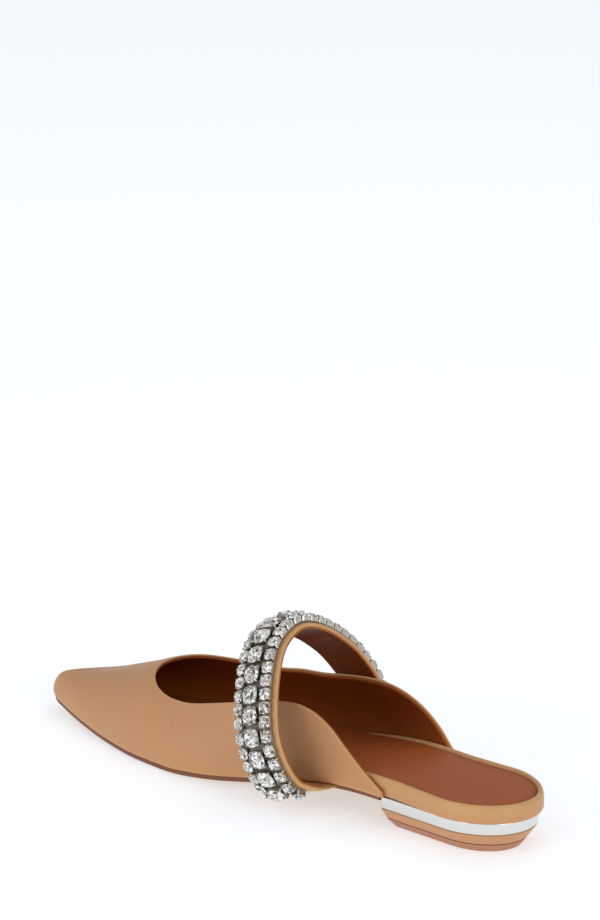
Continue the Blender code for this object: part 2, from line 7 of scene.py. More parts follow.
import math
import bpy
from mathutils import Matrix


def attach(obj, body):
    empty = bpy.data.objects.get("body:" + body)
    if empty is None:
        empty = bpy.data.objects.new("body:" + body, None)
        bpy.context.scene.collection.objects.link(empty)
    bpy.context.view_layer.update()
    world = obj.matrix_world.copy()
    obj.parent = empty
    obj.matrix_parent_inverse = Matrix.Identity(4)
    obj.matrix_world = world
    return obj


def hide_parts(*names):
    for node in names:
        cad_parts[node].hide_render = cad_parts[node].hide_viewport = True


bl_info = {
    "name": "Jewelled pointed mule",
    "version": (1, 0, 0),
    "blender": (4, 5, 0),
    "location": "3D View > Sidebar > Mule",
    "description": "Dresses the packed model of a pointed flat mule in leather, metal and crystal",
    "category": "Add Mesh",
}

import bmesh
import bpy
from bpy.props import FloatProperty, FloatVectorProperty, IntProperty, PointerProperty
from mathutils import Matrix, Vector

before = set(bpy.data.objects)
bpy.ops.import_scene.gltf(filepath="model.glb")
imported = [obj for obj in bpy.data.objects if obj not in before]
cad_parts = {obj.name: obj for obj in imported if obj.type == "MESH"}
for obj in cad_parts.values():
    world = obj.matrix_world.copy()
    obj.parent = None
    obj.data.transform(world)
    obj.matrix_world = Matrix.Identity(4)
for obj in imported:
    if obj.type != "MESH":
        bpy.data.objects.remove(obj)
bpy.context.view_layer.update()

MM = 0.001
GAP = 0.3 * MM  # left between pieces that meet

# The last: the foot-shaped form that the shoe is built on
SHOE_LENGTH = 262.0 * MM  # back of the heel to the tip of the toe
HEEL_BACK = 28.3 * MM  # origin to the back of the heel
BALL_WIDTH = 76.0 * MM  # widest breadth of the forefoot, outside the upper
HEEL_WIDTH = 48.0 * MM  # breadth of the heel seat
TIP_RADIUS = 9.0 * MM  # length over which the toe rounds off in plan
TIP_START = 0.968  # share of the length from which the sections crowd towards the tip
NOSE_SETBACK = 13.0 * MM  # how far the top of the toe lies behind its tip
SEAT_HEIGHT = 14.5 * MM  # floor to the underside of the footbed at the heel
INSTEP_HEIGHT = 76.0 * MM  # floor to the top of the last above the waist
TOE_SPRING = 5.5 * MM  # floor to the underside of the sole at the tip
TOE_SPRING_START = 0.73  # share of the length where the sole leaves the floor
BALL_REST = 0.66  # share of the length where the arch meets the floor
SEAT_END = 0.212  # share of the length where the heel seat ends and the arch begins

# The upper
WALL = 1.6 * MM  # outer leather and lining together
WALL_BULGE = 1.5  # brings a section's bulge to about its full size where it is greatest
THROAT = 0.757  # share of the length where the throat of the vamp lies
COLLAR_END = 0.221  # share of the length where the collar runs out at the footbed
COLLAR_END_HEIGHT = 2.0 * MM  # its height there above the feather edge

# The sole and the footbed
OUTSOLE_THICK = 2.2 * MM
OUTSOLE_INSET = 1.0 * MM  # the outsole's edge lies inside the upper's
WAIST_INSET = 2.2 * MM  # the same at the waist, where the sole tucks in
OUTSOLE_BEVEL = 0.8 * MM
FOOTBED_THICK = 6.0 * MM  # at the heel seat
FOREPART_THICK = 3.2 * MM  # at the ball and toes
FOOTBED_TAPER = (0.20, 0.60)  # shares of the length between which it thins
FOOTBED_EASE = 0.6 * MM  # its underside is this much smaller
NOSE_GAP = 2.5 * MM  # the footbed stops this much shorter inside the toe
RIM_CREST = 1.5 * MM  # the rolled rim is highest this far inside the footbed's edge
SOCK_INSET = 3.0 * MM  # the sock lies this far inside the footbed's edge
SOCK_ROUND = 0.5 * MM  # rounding of its upper edge

# The heel
BREAST = 32.5 * MM  # origin to the front face of the heel
BAND_OVERHANG = 1.9 * MM  # the footbed stands out this far over the metal band
BAND_HEIGHT = 4.9 * MM
TOP_PIECE_HEIGHT = 3.6 * MM
HEEL_CORNER = 1.5 * MM  # cut off the two front corners
HEEL_TAPER = 0.71  # inward slope of the heel block and the top piece
BREAST_LEAN = 0.75  # backward slope of the top piece's front face

# The strap
STRAP_WIDTH = 21.6 * MM
STRAP_THICK = 2.5 * MM
STRAP_CROWN = 1.1 * MM  # its outer face is higher along the middle than at its edges
STRAP_PLACE = 64.0 * MM  # origin to the plane of the strap's rear edge, at the floor
STRAP_LEAN = math.radians(17.7)  # the strap's top leans to the toe
STRAP_TURN = math.radians(9.6)  # its outer end lies nearer to the toe than its inner end
STRAP_EASE = 5.2 * MM  # the loop is wider than the ball of the last
STRAP_SPAN = BALL_WIDTH + STRAP_EASE
STRAP_LIFT = 0.4 * MM  # the loop is longer along its lean than the instep is high
STRAP_RISE = INSTEP_HEIGHT + STRAP_LIFT
STRAP_END_THICK = 1.2 * MM  # it is pared thin where it tucks in between the upper and the sole
STRAP_END_FLAT = 3.0 * MM  # over this length from each end
STRAP_END_LENGTH = 10.0 * MM  # it has its full thickness this far from each end
STRAP_TURN_BACK = 8.0 * MM  # its rear edge turns back this far towards the heel at each end
STRAP_TURN_LENGTH = 15.0 * MM  # over this length from each end
STRAP_CLEARANCE = 0.5 * MM  # between its ends and the outsole
STRAP_DRIFT_MEDIAL = 2.2 * MM  # the front edge lies this much further to the outer side of the foot
STRAP_DRIFT_LATERAL = 3.2 * MM

# The jewelled trim: a row of large cups between two rows of small ones
SMALL_PITCH = 5.45 * MM
LARGE_PITCH = SMALL_PITCH * 1.5  # two large cups are as long as three small ones
CUP_SPACING = 0.55 * MM  # between neighbouring small cups
SMALL_CUP = SMALL_PITCH - CUP_SPACING
LARGE_CUP = 7.4 * MM
ROW_SPACING = 6.8 * MM  # middle of the strap to the middle of a row of small cups
TRIM_START = 8.9 * MM  # bare length of the strap at each end

MEDIAL = 1.0
LATERAL = -1.0
SIDE_NAMES = {MEDIAL: "medial", LATERAL: "lateral"}
STRAP_FLARE = {MEDIAL: 0.30, LATERAL: 0.60}  # below this share of its rise the loop follows the foot
FLARE_POWER = 0.7  # it does so more and more downwards
STRAP_BEND = {MEDIAL: 6.2 * MM, LATERAL: 4.2 * MM}  # the lower bend stands out from the upper's edge


def table(columns, *rows):
    """Rows of numbers as dictionaries with the named columns."""
    return [dict(zip(columns.split(), row)) for row in rows]


# Sections of the last: "at" is a share of the length from the heel's back. "medial" and "lateral"
# are the breadths of the feather edge on each side of the foot's axis, as shares of the ball width.
LAST = table(
    "at medial lateral",
    (0.000, 0.316, 0.316),
    (0.108, 0.316, 0.318),
    (0.222, 0.320, 0.340),
    (0.326, 0.300, 0.386),
    (0.414, 0.338, 0.434),
    (0.490, 0.402, 0.484),
    (0.566, 0.462, 0.515),
    (0.636, 0.488, 0.512),
    (0.707, 0.474, 0.470),
    (0.810, 0.408, 0.335),
    (0.906, 0.318, 0.140),
    (0.966, 0.250, 0.000),
    (1.000, 0.215, -0.075),
)

# The ridge along the top of the last: its height as a share of the instep height, its place to the
# medial side and the bulge of each side wall as shares of the ball width, and how full the section is.
RIDGE = table(
    "at height place medial lateral full",
    (0.000, 1.12, 0.04, 0.05, -0.06, 0.75),
    (0.222, 1.12, 0.05, 0.05, -0.06, 0.75),
    (0.326, 1.06, 0.06, 0.07, -0.09, 0.75),
    (0.414, 0.96, 0.06, 0.05, -0.115, 0.75),
    (0.490, 0.84, 0.06, 0.015, -0.14, 0.78),
    (0.566, 0.71, 0.05, -0.037, -0.075, 0.82),
    (0.636, 0.595, 0.04, -0.03, -0.03, 0.86),
    (0.707, 0.505, 0.03, 0.00, 0.01, 0.90),
    (0.757, 0.455, 0.03, 0.01, 0.02, 0.92),
    (0.810, 0.390, 0.04, 0.01, 0.02, 0.92),
    (0.906, 0.295, 0.09, 0.01, 0.02, 0.85),
    (1.000, 0.240, 0.13, 0.00, 0.00, 0.75),
)

# The collar: how high each side is cut, as a share of the way up to the ridge.
COLLAR = table(
    "at medial lateral",
    (0.221, 0.030, 0.030),
    (0.240, 0.075, 0.085),
    (0.262, 0.130, 0.185),
    (0.300, 0.247, 0.320),
    (0.332, 0.370, 0.400),
    (0.365, 0.466, 0.457),
    (0.394, 0.517, 0.489),
    (0.433, 0.545, 0.520),
    (0.480, 0.565, 0.552),
    (0.526, 0.580, 0.585),
    (0.566, 0.592, 0.618),
    (0.608, 0.612, 0.648),
    (0.658, 0.668, 0.715),
    (0.700, 0.773, 0.805),
    (0.730, 0.886, 0.895),
    (0.757, 1.000, 1.000),
)

# The strap's loop, seen along the foot: shares of its span to the medial side and of its rise.
# Its two ends lie beside the outsole and are worked out from the last.
STRAP_LOOP = table(
    "across up",
    (0.413, 0.169),
    (0.443, 0.196),
    (0.484, 0.255),
    (0.517, 0.332),
    (0.537, 0.428),
    (0.537, 0.513),
    (0.516, 0.602),
    (0.478, 0.698),
    (0.434, 0.784),
    (0.380, 0.865),
    (0.322, 0.924),
    (0.241, 0.967),
    (0.141, 0.986),
    (0.056, 0.974),
    (-0.037, 0.935),
    (-0.128, 0.879),
    (-0.212, 0.811),
    (-0.283, 0.742),
    (-0.339, 0.669),
    (-0.385, 0.594),
    (-0.422, 0.516),
    (-0.450, 0.430),
    (-0.466, 0.333),
    (-0.466, 0.234),
)

# How finely the upper is drawn
LINES = 170  # lines from each half of the topline down to the feather edge
TURN_LINE = 28  # the line whose foot stands at the corner between the wall and the toe
LINE_PARTS = 40  # parts in which a line is measured
TOPLINE_SAMPLES = 360
SECTION = 0.80  # share of the length where the toe part of the grid begins
FAN_START = 0.50  # share of the length where the lines begin to fan forwards
WALL_ROWS = 34
TOE_ROWS = 26  # rows from the section to the start of the tip
TIP_ROWS = 18
TOE_DISTANCE = 40.0 * MM  # distance from the topline that counts all over the toe
SHORT_LINE = 10.0 * MM  # on a line shorter than this the edge's rows crowd together

# The upper's edges. LINING_START is also one of the rows below the topline, in EDGE_ROWS.
LINING_START = 0.85 * MM  # the lining's rows begin this far below the topline
LINING_BEAD = 0.15 * MM  # it is folded and stands this much higher along its edge
BEAD_WIDTH = 0.9 * MM  # breadth of that fold
BEAD_STEP = 0.2 * MM  # breadth over which the bead's height runs out
BEAD_FADE = 0.5 * MM  # breadth over which its lighter tone, a painted highlight on the fold, runs out
LINING_BOUNCE_LIGHT = 28.0 * MM  # painted bounce light from the footbed: the lining is painted lighter downwards below this height over the feather edge
EDGE_ROWS = [0.45 * MM, LINING_START, 1.2 * MM, 1.7 * MM, 2.0 * MM, 2.3 * MM, 2.8 * MM, 3.4 * MM]
LINING_BED = 0.85 * MM  # thickness of the outer leather
LINING_GLUE = 0.05 * MM  # between the leather and the lining
TURNED_EDGE = 1.2 * MM  # the leather is painted lighter over this breadth below the topline: a painted highlight on its turned-in edge
LASTED_EDGE = 1.6 * MM  # height over which the leather turns in under the footbed
LASTED_TUCK = 0.5 * MM  # how far it is turned in at the feather edge

# Creases of the upper: a path of (share of the length, across), breadth, share of the depth
CREASE_FADE = 8.0 * MM  # they run out over this distance below the topline
CREASES = (
    (((0.60, 0.97), (0.66, 0.80), (0.70, 0.66)), 7.0 * MM, 0.50),
    (((0.66, 0.97), (0.72, 0.78), (0.77, 0.55)), 8.0 * MM, 0.40),
    (((0.44, 0.93), (0.48, 0.78), (0.53, 0.70)), 7.0 * MM, 0.45),
    (((0.33, 0.95), (0.37, 0.85), (0.41, 0.76)), 5.0 * MM, 0.30),
    (((0.61, -0.97), (0.67, -0.82), (0.71, -0.66)), 7.0 * MM, 0.50),
    (((0.45, -0.93), (0.49, -0.80), (0.54, -0.70)), 7.0 * MM, 0.45),
    (((0.80, 0.60), (0.82, 0.20), (0.81, -0.30)), 9.0 * MM, 0.25),
)

# The sole's rounded upper edge, as inset and drop
SOLE_ROUND = ((0.0, 0.25 * MM), (0.07 * MM, 0.07 * MM), (0.25 * MM, 0.0))
# The footbed's side below its rim, as inset, share of the thickness and tone of the lighter edge colour,
# where the rim's painted highlight begins
FOOTBED_SIDE = (
    (FOOTBED_EASE + 0.4 * MM, 0.0, 0.0),
    (0.25 * MM, 0.03, 0.0),
    (0.0, 0.13, 0.1),
    (0.0, 0.3, 0.2),
    (0.0, 0.5, 0.4),
)
RIM_FADE = (0.26, 0.54)  # shares of the length between which the sock widens over the footbed's rim
RIM_START = 0.62  # share of the footbed's thickness where its side begins to roll over into the rim
RIM_HIGH = 1.6 * MM  # the rim's crest over what the sock lies on
SOCK_TOP = 0.5 * MM  # the sock's upper face over the same
SOCK_COVER = 0.5 * MM  # the sock's inset where it covers the whole footbed
# The sock's edge from below, as further inset, rise and tone of cut edge
SOCK_EDGE = (
    (0.15 * MM, -0.1 * MM, 1.0),
    (0.0, 0.0, 1.0),
    (0.0, SOCK_TOP - SOCK_ROUND / 2, 1.0),
    (SOCK_ROUND * 0.3, SOCK_TOP - SOCK_ROUND * 0.15, 0.7),
    (SOCK_ROUND, SOCK_TOP, 0.3),
    (SOCK_ROUND * 3, SOCK_TOP + 0.05 * MM, 0.0),
)
SOCK_CROWN = 0.5 * MM  # it is raised this much along its middle
CROWN_BREADTH = 20.0 * MM  # and less where it is narrower than this

# The strap
STRAP_STEPS = 230
LINE_SAMPLES = 600  # places at which a line along the strap is measured
LINING_SAMPLES = 400
LINING_STOP = 10.0 * MM  # the strap's lining ends this far before the strap does
LEATHER_THICK = 1.9 * MM  # the strap's leather without its lining
STRAP_GLUE = 0.03 * MM
ROLL_FADE = 2.0 * MM  # the crown of its face starts over this breadth beside the rolled edge
STRAP_SEAM = 0.35 * MM  # the lining's edge lies this far inside the strap's
SEAM_MARGIN = 0.8 * MM  # the lining's edge is lighter over this breadth
WRINKLE_TONE = 0.35  # share of the edge tone on the crest of a wrinkle: a painted highlight
WRINKLE_FADE = 3.0 * MM  # the wrinkles run out over this breadth beside the lining's edge
# Wrinkles of the strap's lining: share along, slant, breadth and share of the depth
WRINKLES = (
    (0.355, 0.012, 0.009, 0.8),
    (0.385, -0.010, 0.011, 1.0),
    (0.420, 0.014, 0.010, 0.7),
    (0.455, 0.006, 0.012, 0.9),
    (0.500, -0.012, 0.014, 0.5),
    (0.250, 0.010, 0.014, 0.4),
    (0.640, 0.010, 0.020, 0.4),
)

# The trim
NET_STAND = 0.1 * MM  # gap between the strap and the net strips
NET_THICK = 0.9 * MM
NET_BEYOND = 0.6 * MM  # the middle strip is this much broader than its cups, so that its dark grey also fills the gaps between the rows: painted shade
NET_STEPS = 6  # rings of the strip for each cup
CUP_STAND = 0.4 * MM  # the cups stand this far over the strap's face, on their net strips
CUP_EASE = 0.12 * MM  # the cup is this much smaller all round than its share of the row
CUP_CORNER = 0.13  # share of the cup's size that is cut off at its corners
CUP_FOOT = 0.2 * MM  # bevel of its lower edge
CUP_WALL = 0.2 * MM
CUP_FLOOR = 0.3 * MM
CUP_RIM = 2.1 * MM
CUP_SCALLOP = 0.35 * MM  # the wall dips this much between two claws
CUP_GROWTH = 0.2  # share of the difference in size by which a large cup is higher
CUP_TURN = math.radians(1.2)  # largest chance turn and tilt of a cup
CUP_TILT = math.radians(0.6)
PRONG_WIDTH = 0.45 * MM
CLAW_LEAN = 0.6  # rise of its thickness where it bends in over the stone
STONE_SPREAD = 0.03  # share of the cup's size by which the stone stands out over it
GIRDLE_RISE = 0.05 * MM  # the stone's edge over the cup's wall
GIRDLE_THICK = 0.15 * MM
STONE_CROWN = 0.46  # height over the girdle, as a share of the stone's radius
STONE_PAVILION = 0.45  # depth under it, as a share of the same
STONE_STAR = 0.30  # share of the radius where the inner facets of the table end
STONE_TABLE = 0.56  # share of the radius where the table ends
STONE_MID = 0.80  # share of the radius where the crown's two rings of facets meet
STONE_MID_HEIGHT = 0.52  # share of the crown's height where they do
FACET_SHARES = (0.0, 0.14, 0.34, 0.58, 0.80)  # where each tone begins, from dark to light
FACET_SHARP = 1.0  # degrees between facets from which their edge is sharp

# Scales of the finishes' patterns
TONE_PATCH = 26.0 * MM  # slow changes of tone over a hide
SPECK = 2.2 * MM  # fine specks of a finished leather, 0.5 mm on the real one: drawn coarser to show
LEATHER_GRAIN = 1.1 * MM  # 0.3 mm on the real leather: drawn coarser so that it shows
GRAIN_DEPTH = 0.06 * MM
SMEAR = 9.0 * MM  # a finger's smear on plated metal
NET_MESH = 0.9 * MM  # 0.5 mm on the real net: drawn coarser so that it shows
NET_RELIEF = 0.2 * MM
PAPER_FIBRE = 3.0 * MM  # far finer on real paper, drawn coarser
NOISE_SPAN = {"From Min": 0.3, "From Max": 0.7}  # most of a noise's values lie here

# The stage, in metres. A lamp has a place, a size and a power in watts.
FLOOR_SIZE = 14.0
LAMPS = (
    ("key_lamp", (0.45, -0.75, 1.5), 1.4, 2.0),
    ("side_lamp", (0.5, 2.0, 0.4), 1.6, 13.0),
    ("heel_lamp", (-1.9, 0.4, 0.6), 1.4, 11.0),
)
LAMP_AIM = (0.10, 0.0, 0.03)
WHITE = (1.0, 1.0, 1.0, 1.0)
# The camera, fitted to the photograph: its place in mm, and its right, up and forward directions
CAMERA_PLACE = (-802.25, 967.55, 515.39)
CAMERA_AXES = (
    (-0.73267757, -0.68057592, 0.0),
    (0.18740392, -0.20175067, 0.96134096),
    (0.65426551, -0.70435296, -0.27536078),
)
CAMERA_LENS = 131.75  # mm, on a sensor as high as the image
CAMERA_SENSOR = 36.0
CAMERA_REACH = 50.0


def share_between(value, low, high):
    """How far a value has come from low to high, from 0 to 1."""
    return min(1.0, max(0.0, (value - low) / (high - low)))


def eased(share):
    """A share from 0 to 1 with a soft start and end."""
    return share * share * (3 - 2 * share)


def smooth_value(rows, column, at):
    """Reads a column of a table at a share, on a smooth curve that doesn't overshoot its rows."""
    if at <= rows[0]["at"]:
        return rows[0][column]
    if at >= rows[-1]["at"]:
        return rows[-1][column]
    last = len(rows) - 1
    index = next(i for i in range(last) if rows[i + 1]["at"] >= at)
    slopes = [
        (rows[i + 1][column] - rows[i][column]) / (rows[i + 1]["at"] - rows[i]["at"])
        for i in range(last)
    ]

    def tangent(i):
        if i == 0:
            return slopes[0]
        if i == last:
            return slopes[-1]
        before, after = slopes[i - 1], slopes[i]
        if before * after <= 0.0:
            return 0.0
        return 2.0 * before * after / (before + after)

    low, high = rows[index], rows[index + 1]
    width = high["at"] - low["at"]
    t = (at - low["at"]) / width
    return (
        (1 + 2 * t) * (1 - t) ** 2 * low[column]
        + t * (1 - t) ** 2 * width * tangent(index)
        + t * t * (3 - 2 * t) * high[column]
        + t * t * (t - 1) * width * tangent(index + 1)
    )


def smooth_point(points, t):
    """A point on the Catmull-Rom curve through the points, t from 0 to 1 in equal parts."""
    spans = len(points) - 1
    index = min(int(t * spans), spans - 1)
    f = t * spans - index
    p1, p2 = points[index], points[index + 1]
    p0 = points[index - 1] if index > 0 else 2 * p1 - p2
    p3 = points[index + 2] if index + 2 <= spans else 2 * p2 - p1
    return 0.5 * (
        2 * p1
        + (p2 - p0) * f
        + (2 * p0 - 5 * p1 + 4 * p2 - p3) * f**2
        + (3 * p1 - p0 - 3 * p2 + p3) * f**3
    )


def station_x(at):
    """X of a share of the shoe's length."""
    return at * SHOE_LENGTH - HEEL_BACK


def share_at(x):
    """Share of the shoe's length at an X."""
    return (x + HEEL_BACK) / SHOE_LENGTH


def end_rounding(at, heel_end=0.0, toe_end=1.0):
    """Factor that rounds the plan off at the back of the heel and at the tip of the toe."""
    toe_start = 1.0 - TIP_RADIUS / SHOE_LENGTH
    heel_start = HEEL_BACK / SHOE_LENGTH
    reach = 0.0
    if at > toe_start:
        reach = (at - toe_start) / (toe_end - toe_start)
    elif at < heel_start:
        reach = (heel_start - at) / (heel_start - heel_end)
    return math.sqrt(max(0.0, 1.0 - reach * reach))


def edge_y(side, at, inset=0.0, heel_end=0.0, toe_end=1.0):
    """Y of the feather edge on one side, moved inwards by an inset."""
    medial = smooth_value(LAST, "medial", at) * BALL_WIDTH
    lateral = -smooth_value(LAST, "lateral", at) * BALL_WIDTH
    half = (medial - lateral) / 2 - inset
    return (medial + lateral) / 2 + side * half * end_rounding(at, heel_end, toe_end)


def plan_ring(inset, height, start=None, steps=30):
    """Points round the plan: along the medial side to the tip and back along the lateral side.

    inset and height are functions of the share of the length. A start share cuts the plan off
    square there; without one the ring goes round the heel too.
    """
    first = inset(0.0) / SHOE_LENGTH if start is None else start
    heel_end = inset(0.0) / SHOE_LENGTH
    toe_end = 1.0 - inset(1.0) / SHOE_LENGTH
    points = []
    for side in (MEDIAL, LATERAL):
        order = range(steps + 1) if side > 0 else range(steps - 1, -1, -1)
        for i in order:
            if side < 0 and i == 0 and start is None:
                continue
            t = 0.5 - 0.5 * math.cos(math.pi * i / steps)
            if start is not None:
                t = math.sin(math.pi / 2 * i / steps)
            at = first + (toe_end - first) * t
            y = edge_y(side, at, inset(at), heel_end, toe_end)
            points.append(Vector((station_x(at), y, height(at))))
    return points


def sole_bottom(at):
    """Height of the underside of the sole above the floor: heel seat, arch, ball and toe spring."""
    seat = SEAT_HEIGHT - OUTSOLE_THICK - GAP
    if at < SEAT_END:
        return seat
    if at < BALL_REST:
        t = (at - SEAT_END) / (BALL_REST - SEAT_END)
        return seat * (0.5 + 0.5 * math.cos(math.pi * t))
    if at < TOE_SPRING_START:
        return 0.0
    t = (at - TOE_SPRING_START) / (1.0 - TOE_SPRING_START)
    return TOE_SPRING * t**1.8


def feather_height(at):
    """Height of the lower edge of the upper, and of the underside of the footbed."""
    return sole_bottom(at) + OUTSOLE_THICK + GAP


def last_point(side, at, climb):
    """A point of the upper's outer surface. climb is 0 at the feather edge and 1 at the ridge."""
    setback = NOSE_SETBACK * max(0.0, (at - THROAT) / (1.0 - THROAT)) ** 2
    ridge_at = at - setback / SHOE_LENGTH
    foot = Vector((station_x(at), edge_y(side, at), feather_height(at)))
    top = Vector(
        (
            station_x(ridge_at),
            smooth_value(RIDGE, "place", at) * BALL_WIDTH,
            smooth_value(RIDGE, "height", at) * INSTEP_HEIGHT,
        )
    )
    bulge = smooth_value(RIDGE, SIDE_NAMES[side], at) * BALL_WIDTH * side
    full = smooth_value(RIDGE, "full", at)
    angle = climb * math.pi / 2
    inward = 1.0 - math.cos(angle) ** full
    upward = math.sin(angle)
    return Vector(
        (
            foot.x + (top.x - foot.x) * inward,
            foot.y + (top.y - foot.y) * inward + bulge * WALL_BULGE * math.sin(2 * angle) * upward,
            foot.z + (top.z - foot.z) * upward,
        )
    )


def collar_climb(side, at):
    """How far the wall climbs at a station: to the ridge on the vamp, to the collar behind it."""
    if at >= THROAT:
        return 1.0
    rise = smooth_value(COLLAR, SIDE_NAMES[side], at)
    ridge = smooth_value(RIDGE, "height", at) * INSTEP_HEIGHT - feather_height(at)
    rise = max(rise, COLLAR_END_HEIGHT / ridge)
    return math.asin(min(1.0, rise)) / (math.pi / 2)


def outsole_inset(at):
    """How far the outsole's edge lies inside the upper's: most at the waist."""
    return OUTSOLE_INSET + (WAIST_INSET - OUTSOLE_INSET) * share_between(at, BALL_REST, COLLAR_END)


def footbed_inset(at):
    """The footbed shows its whole edge at the heel, and lies inside the upper in front of it."""
    covered = share_between(at, share_at(0.0), COLLAR_END - 0.02)
    toe = share_between(at, THROAT, 1.0)
    return (WALL + GAP * 2) * covered + NOSE_GAP * toe * toe


def footbed_thickness(at):
    """Thick at the heel seat, thinner at the ball and toes."""
    return FOOTBED_THICK + (FOREPART_THICK - FOOTBED_THICK) * eased(share_between(at, *FOOTBED_TAPER))


def strap_axes():
    """The strap's own axes: up its lean, along its width to the toe, and a step to the medial side."""
    lean, turn = math.tan(STRAP_LEAN), math.tan(STRAP_TURN)
    up = Vector((lean, 0.0, 1.0)).normalized()
    width = Vector((1.0, turn, -lean)).normalized()
    return up, width, Vector((-turn, 1.0, 0.0))


def turned_back(offset, distance):
    """How far a line of the strap is turned back to the heel: most at its rear edge and its ends."""
    rear = max(0.0, 1.0 - offset * 2 / STRAP_WIDTH) ** 2
    near = max(0.0, 1.0 - distance / STRAP_TURN_LENGTH)
    return STRAP_TURN_BACK * rear * near


def strap_ends(offset, back=0.0):
    """Where the strap's outer face ends between upper and outsole, and the bend beside the upper.

    back moves the end to the heel along the strap's width, and the bend half as far.
    """
    up, width, across = strap_axes()
    ends = {}
    for side in (MEDIAL, LATERAL):
        found = []
        for moved, on_sole in ((back, True), (back / 2, False)):
            start = Vector((STRAP_PLACE, 0.0, 0.0)) + width * (offset - moved)
            point = start
            for _ in range(8):  # each time the edge is looked up where the point has moved to
                at = share_at(point.x)
                aside = edge_y(side, at) + side * STRAP_BEND[side]
                if on_sole:
                    aside = edge_y(side, at, outsole_inset(at)) + side * STRAP_CLEARANCE
                height = feather_height(at) - GAP - STRAP_END_THICK
                point = start + up * ((height - start.z) / up.z) + across * (aside - start.y)
            found.append(point)
        ends[side] = found
    return ends


def strap_line(offset):
    """Points along the strap's outer face, medial end first, at an offset from its rear edge."""
    up, width, across = strap_axes()
    start = Vector((STRAP_PLACE, 0.0, 0.0)) + width * offset
    ends, rear_ends = strap_ends(offset), strap_ends(0.0)
    loop = []
    for row in STRAP_LOOP:
        side = MEDIAL if row["across"] > 0 else LATERAL
        near = max(0.0, 1.0 - row["up"] / STRAP_FLARE[side]) ** FLARE_POWER
        here, rear = ends[side][0], rear_ends[side][0]
        drop = (here.z - rear.z - (width * offset).z) * near / up.z
        medial = 0.5 + max(-0.5, min(0.5, row["across"]))
        drift = STRAP_DRIFT_LATERAL + (STRAP_DRIFT_MEDIAL - STRAP_DRIFT_LATERAL) * medial
        drift *= -offset / STRAP_WIDTH
        aside = row["across"] * STRAP_SPAN + drift
        aside += (here.y - rear.y - (width * offset).y - drift) * near
        point = start + up * (row["up"] * STRAP_RISE + drop) + across * aside
        loop.append(point - width * turned_back(offset, (point - here).length))
    ends = strap_ends(offset, turned_back(offset, 0.0))
    return [*ends[MEDIAL], *loop, *reversed(ends[LATERAL])]


def strap_crown(offset):
    """How far the outer face stands out at an offset from the rear edge: most along the middle."""
    share = offset / STRAP_WIDTH * 2 - 1
    return STRAP_CROWN * (1 - share * share)


def strap_place(line, t):
    """Place and outward normal on one line of the strap's outer face."""
    step = 0.002
    ahead = smooth_point(line, min(1.0, t + step))
    behind = smooth_point(line, max(0.0, t - step))
    tangent = (ahead - behind).normalized()
    normal = tangent.cross(strap_axes()[1]).normalized()
    return smooth_point(line, t), normal


def strap_fullness(line, place):
    """Thickness of the strap at a place as a share of its full thickness: pared thin at both ends."""
    near = min((place - line[0]).length, (place - line[-1]).length)
    least = STRAP_END_THICK / STRAP_THICK
    return least + (1.0 - least) * eased(share_between(near, STRAP_END_FLAT, STRAP_END_LENGTH))


def distances_along(points):
    """Distance of each point of a line from its start."""
    travelled = [0.0]
    for low, high in zip(points, points[1:]):
        travelled.append(travelled[-1] + (high - low).length)
    return travelled


def evenly_spaced(line, pitch):
    """Number of cups of one pitch that fit along the strap, and a function from a place to t.

    A place counts pitches from the row's start. Every row is measured along the strap's middle, so
    that their cups line up: a row of large cups starts half the difference of the pitches later.
    """
    shares = [(i / LINE_SAMPLES,) for i in range(LINE_SAMPLES + 1)]
    travelled = distances_along([smooth_point(line, share) for (share,) in shares])
    start = TRIM_START + (pitch - SMALL_PITCH) / 2
    count = math.floor((travelled[-1] - TRIM_START - start) / pitch)
    return count, lambda place: place_at(shares, travelled, start + place * pitch)[0]


def linear(code):
    """Linear colour of an sRGB hex value."""
    shares = [int(code[i : i + 2], 16) / 255 for i in (1, 3, 5)]
    return tuple(v / 12.92 if v <= 0.04045 else ((v + 0.055) / 1.055) ** 2.4 for v in shares)


def set_inputs(tree, node, inputs):
    """Sets a node's inputs, each to a value or by a link from a socket."""
    for key, value in inputs.items():
        if isinstance(value, bpy.types.NodeSocket):
            tree.links.new(value, node.inputs[key])
        else:
            node.inputs[key].default_value = value


def add_node(tree, kind, inputs=None, **settings):
    """Adds a node with its settings and inputs."""
    node = tree.nodes.new(kind)
    for key, value in settings.items():
        setattr(node, key, value)
    set_inputs(tree, node, inputs or {})
    return node


def new_finish(name):
    """An empty material with its tree, its Principled shader and the place on the piece."""
    material = bpy.data.materials.new(name)
    material.use_nodes = True
    tree = material.node_tree
    place = add_node(tree, "ShaderNodeTexCoord").outputs["Object"]
    return material, tree, tree.nodes["Principled BSDF"], place


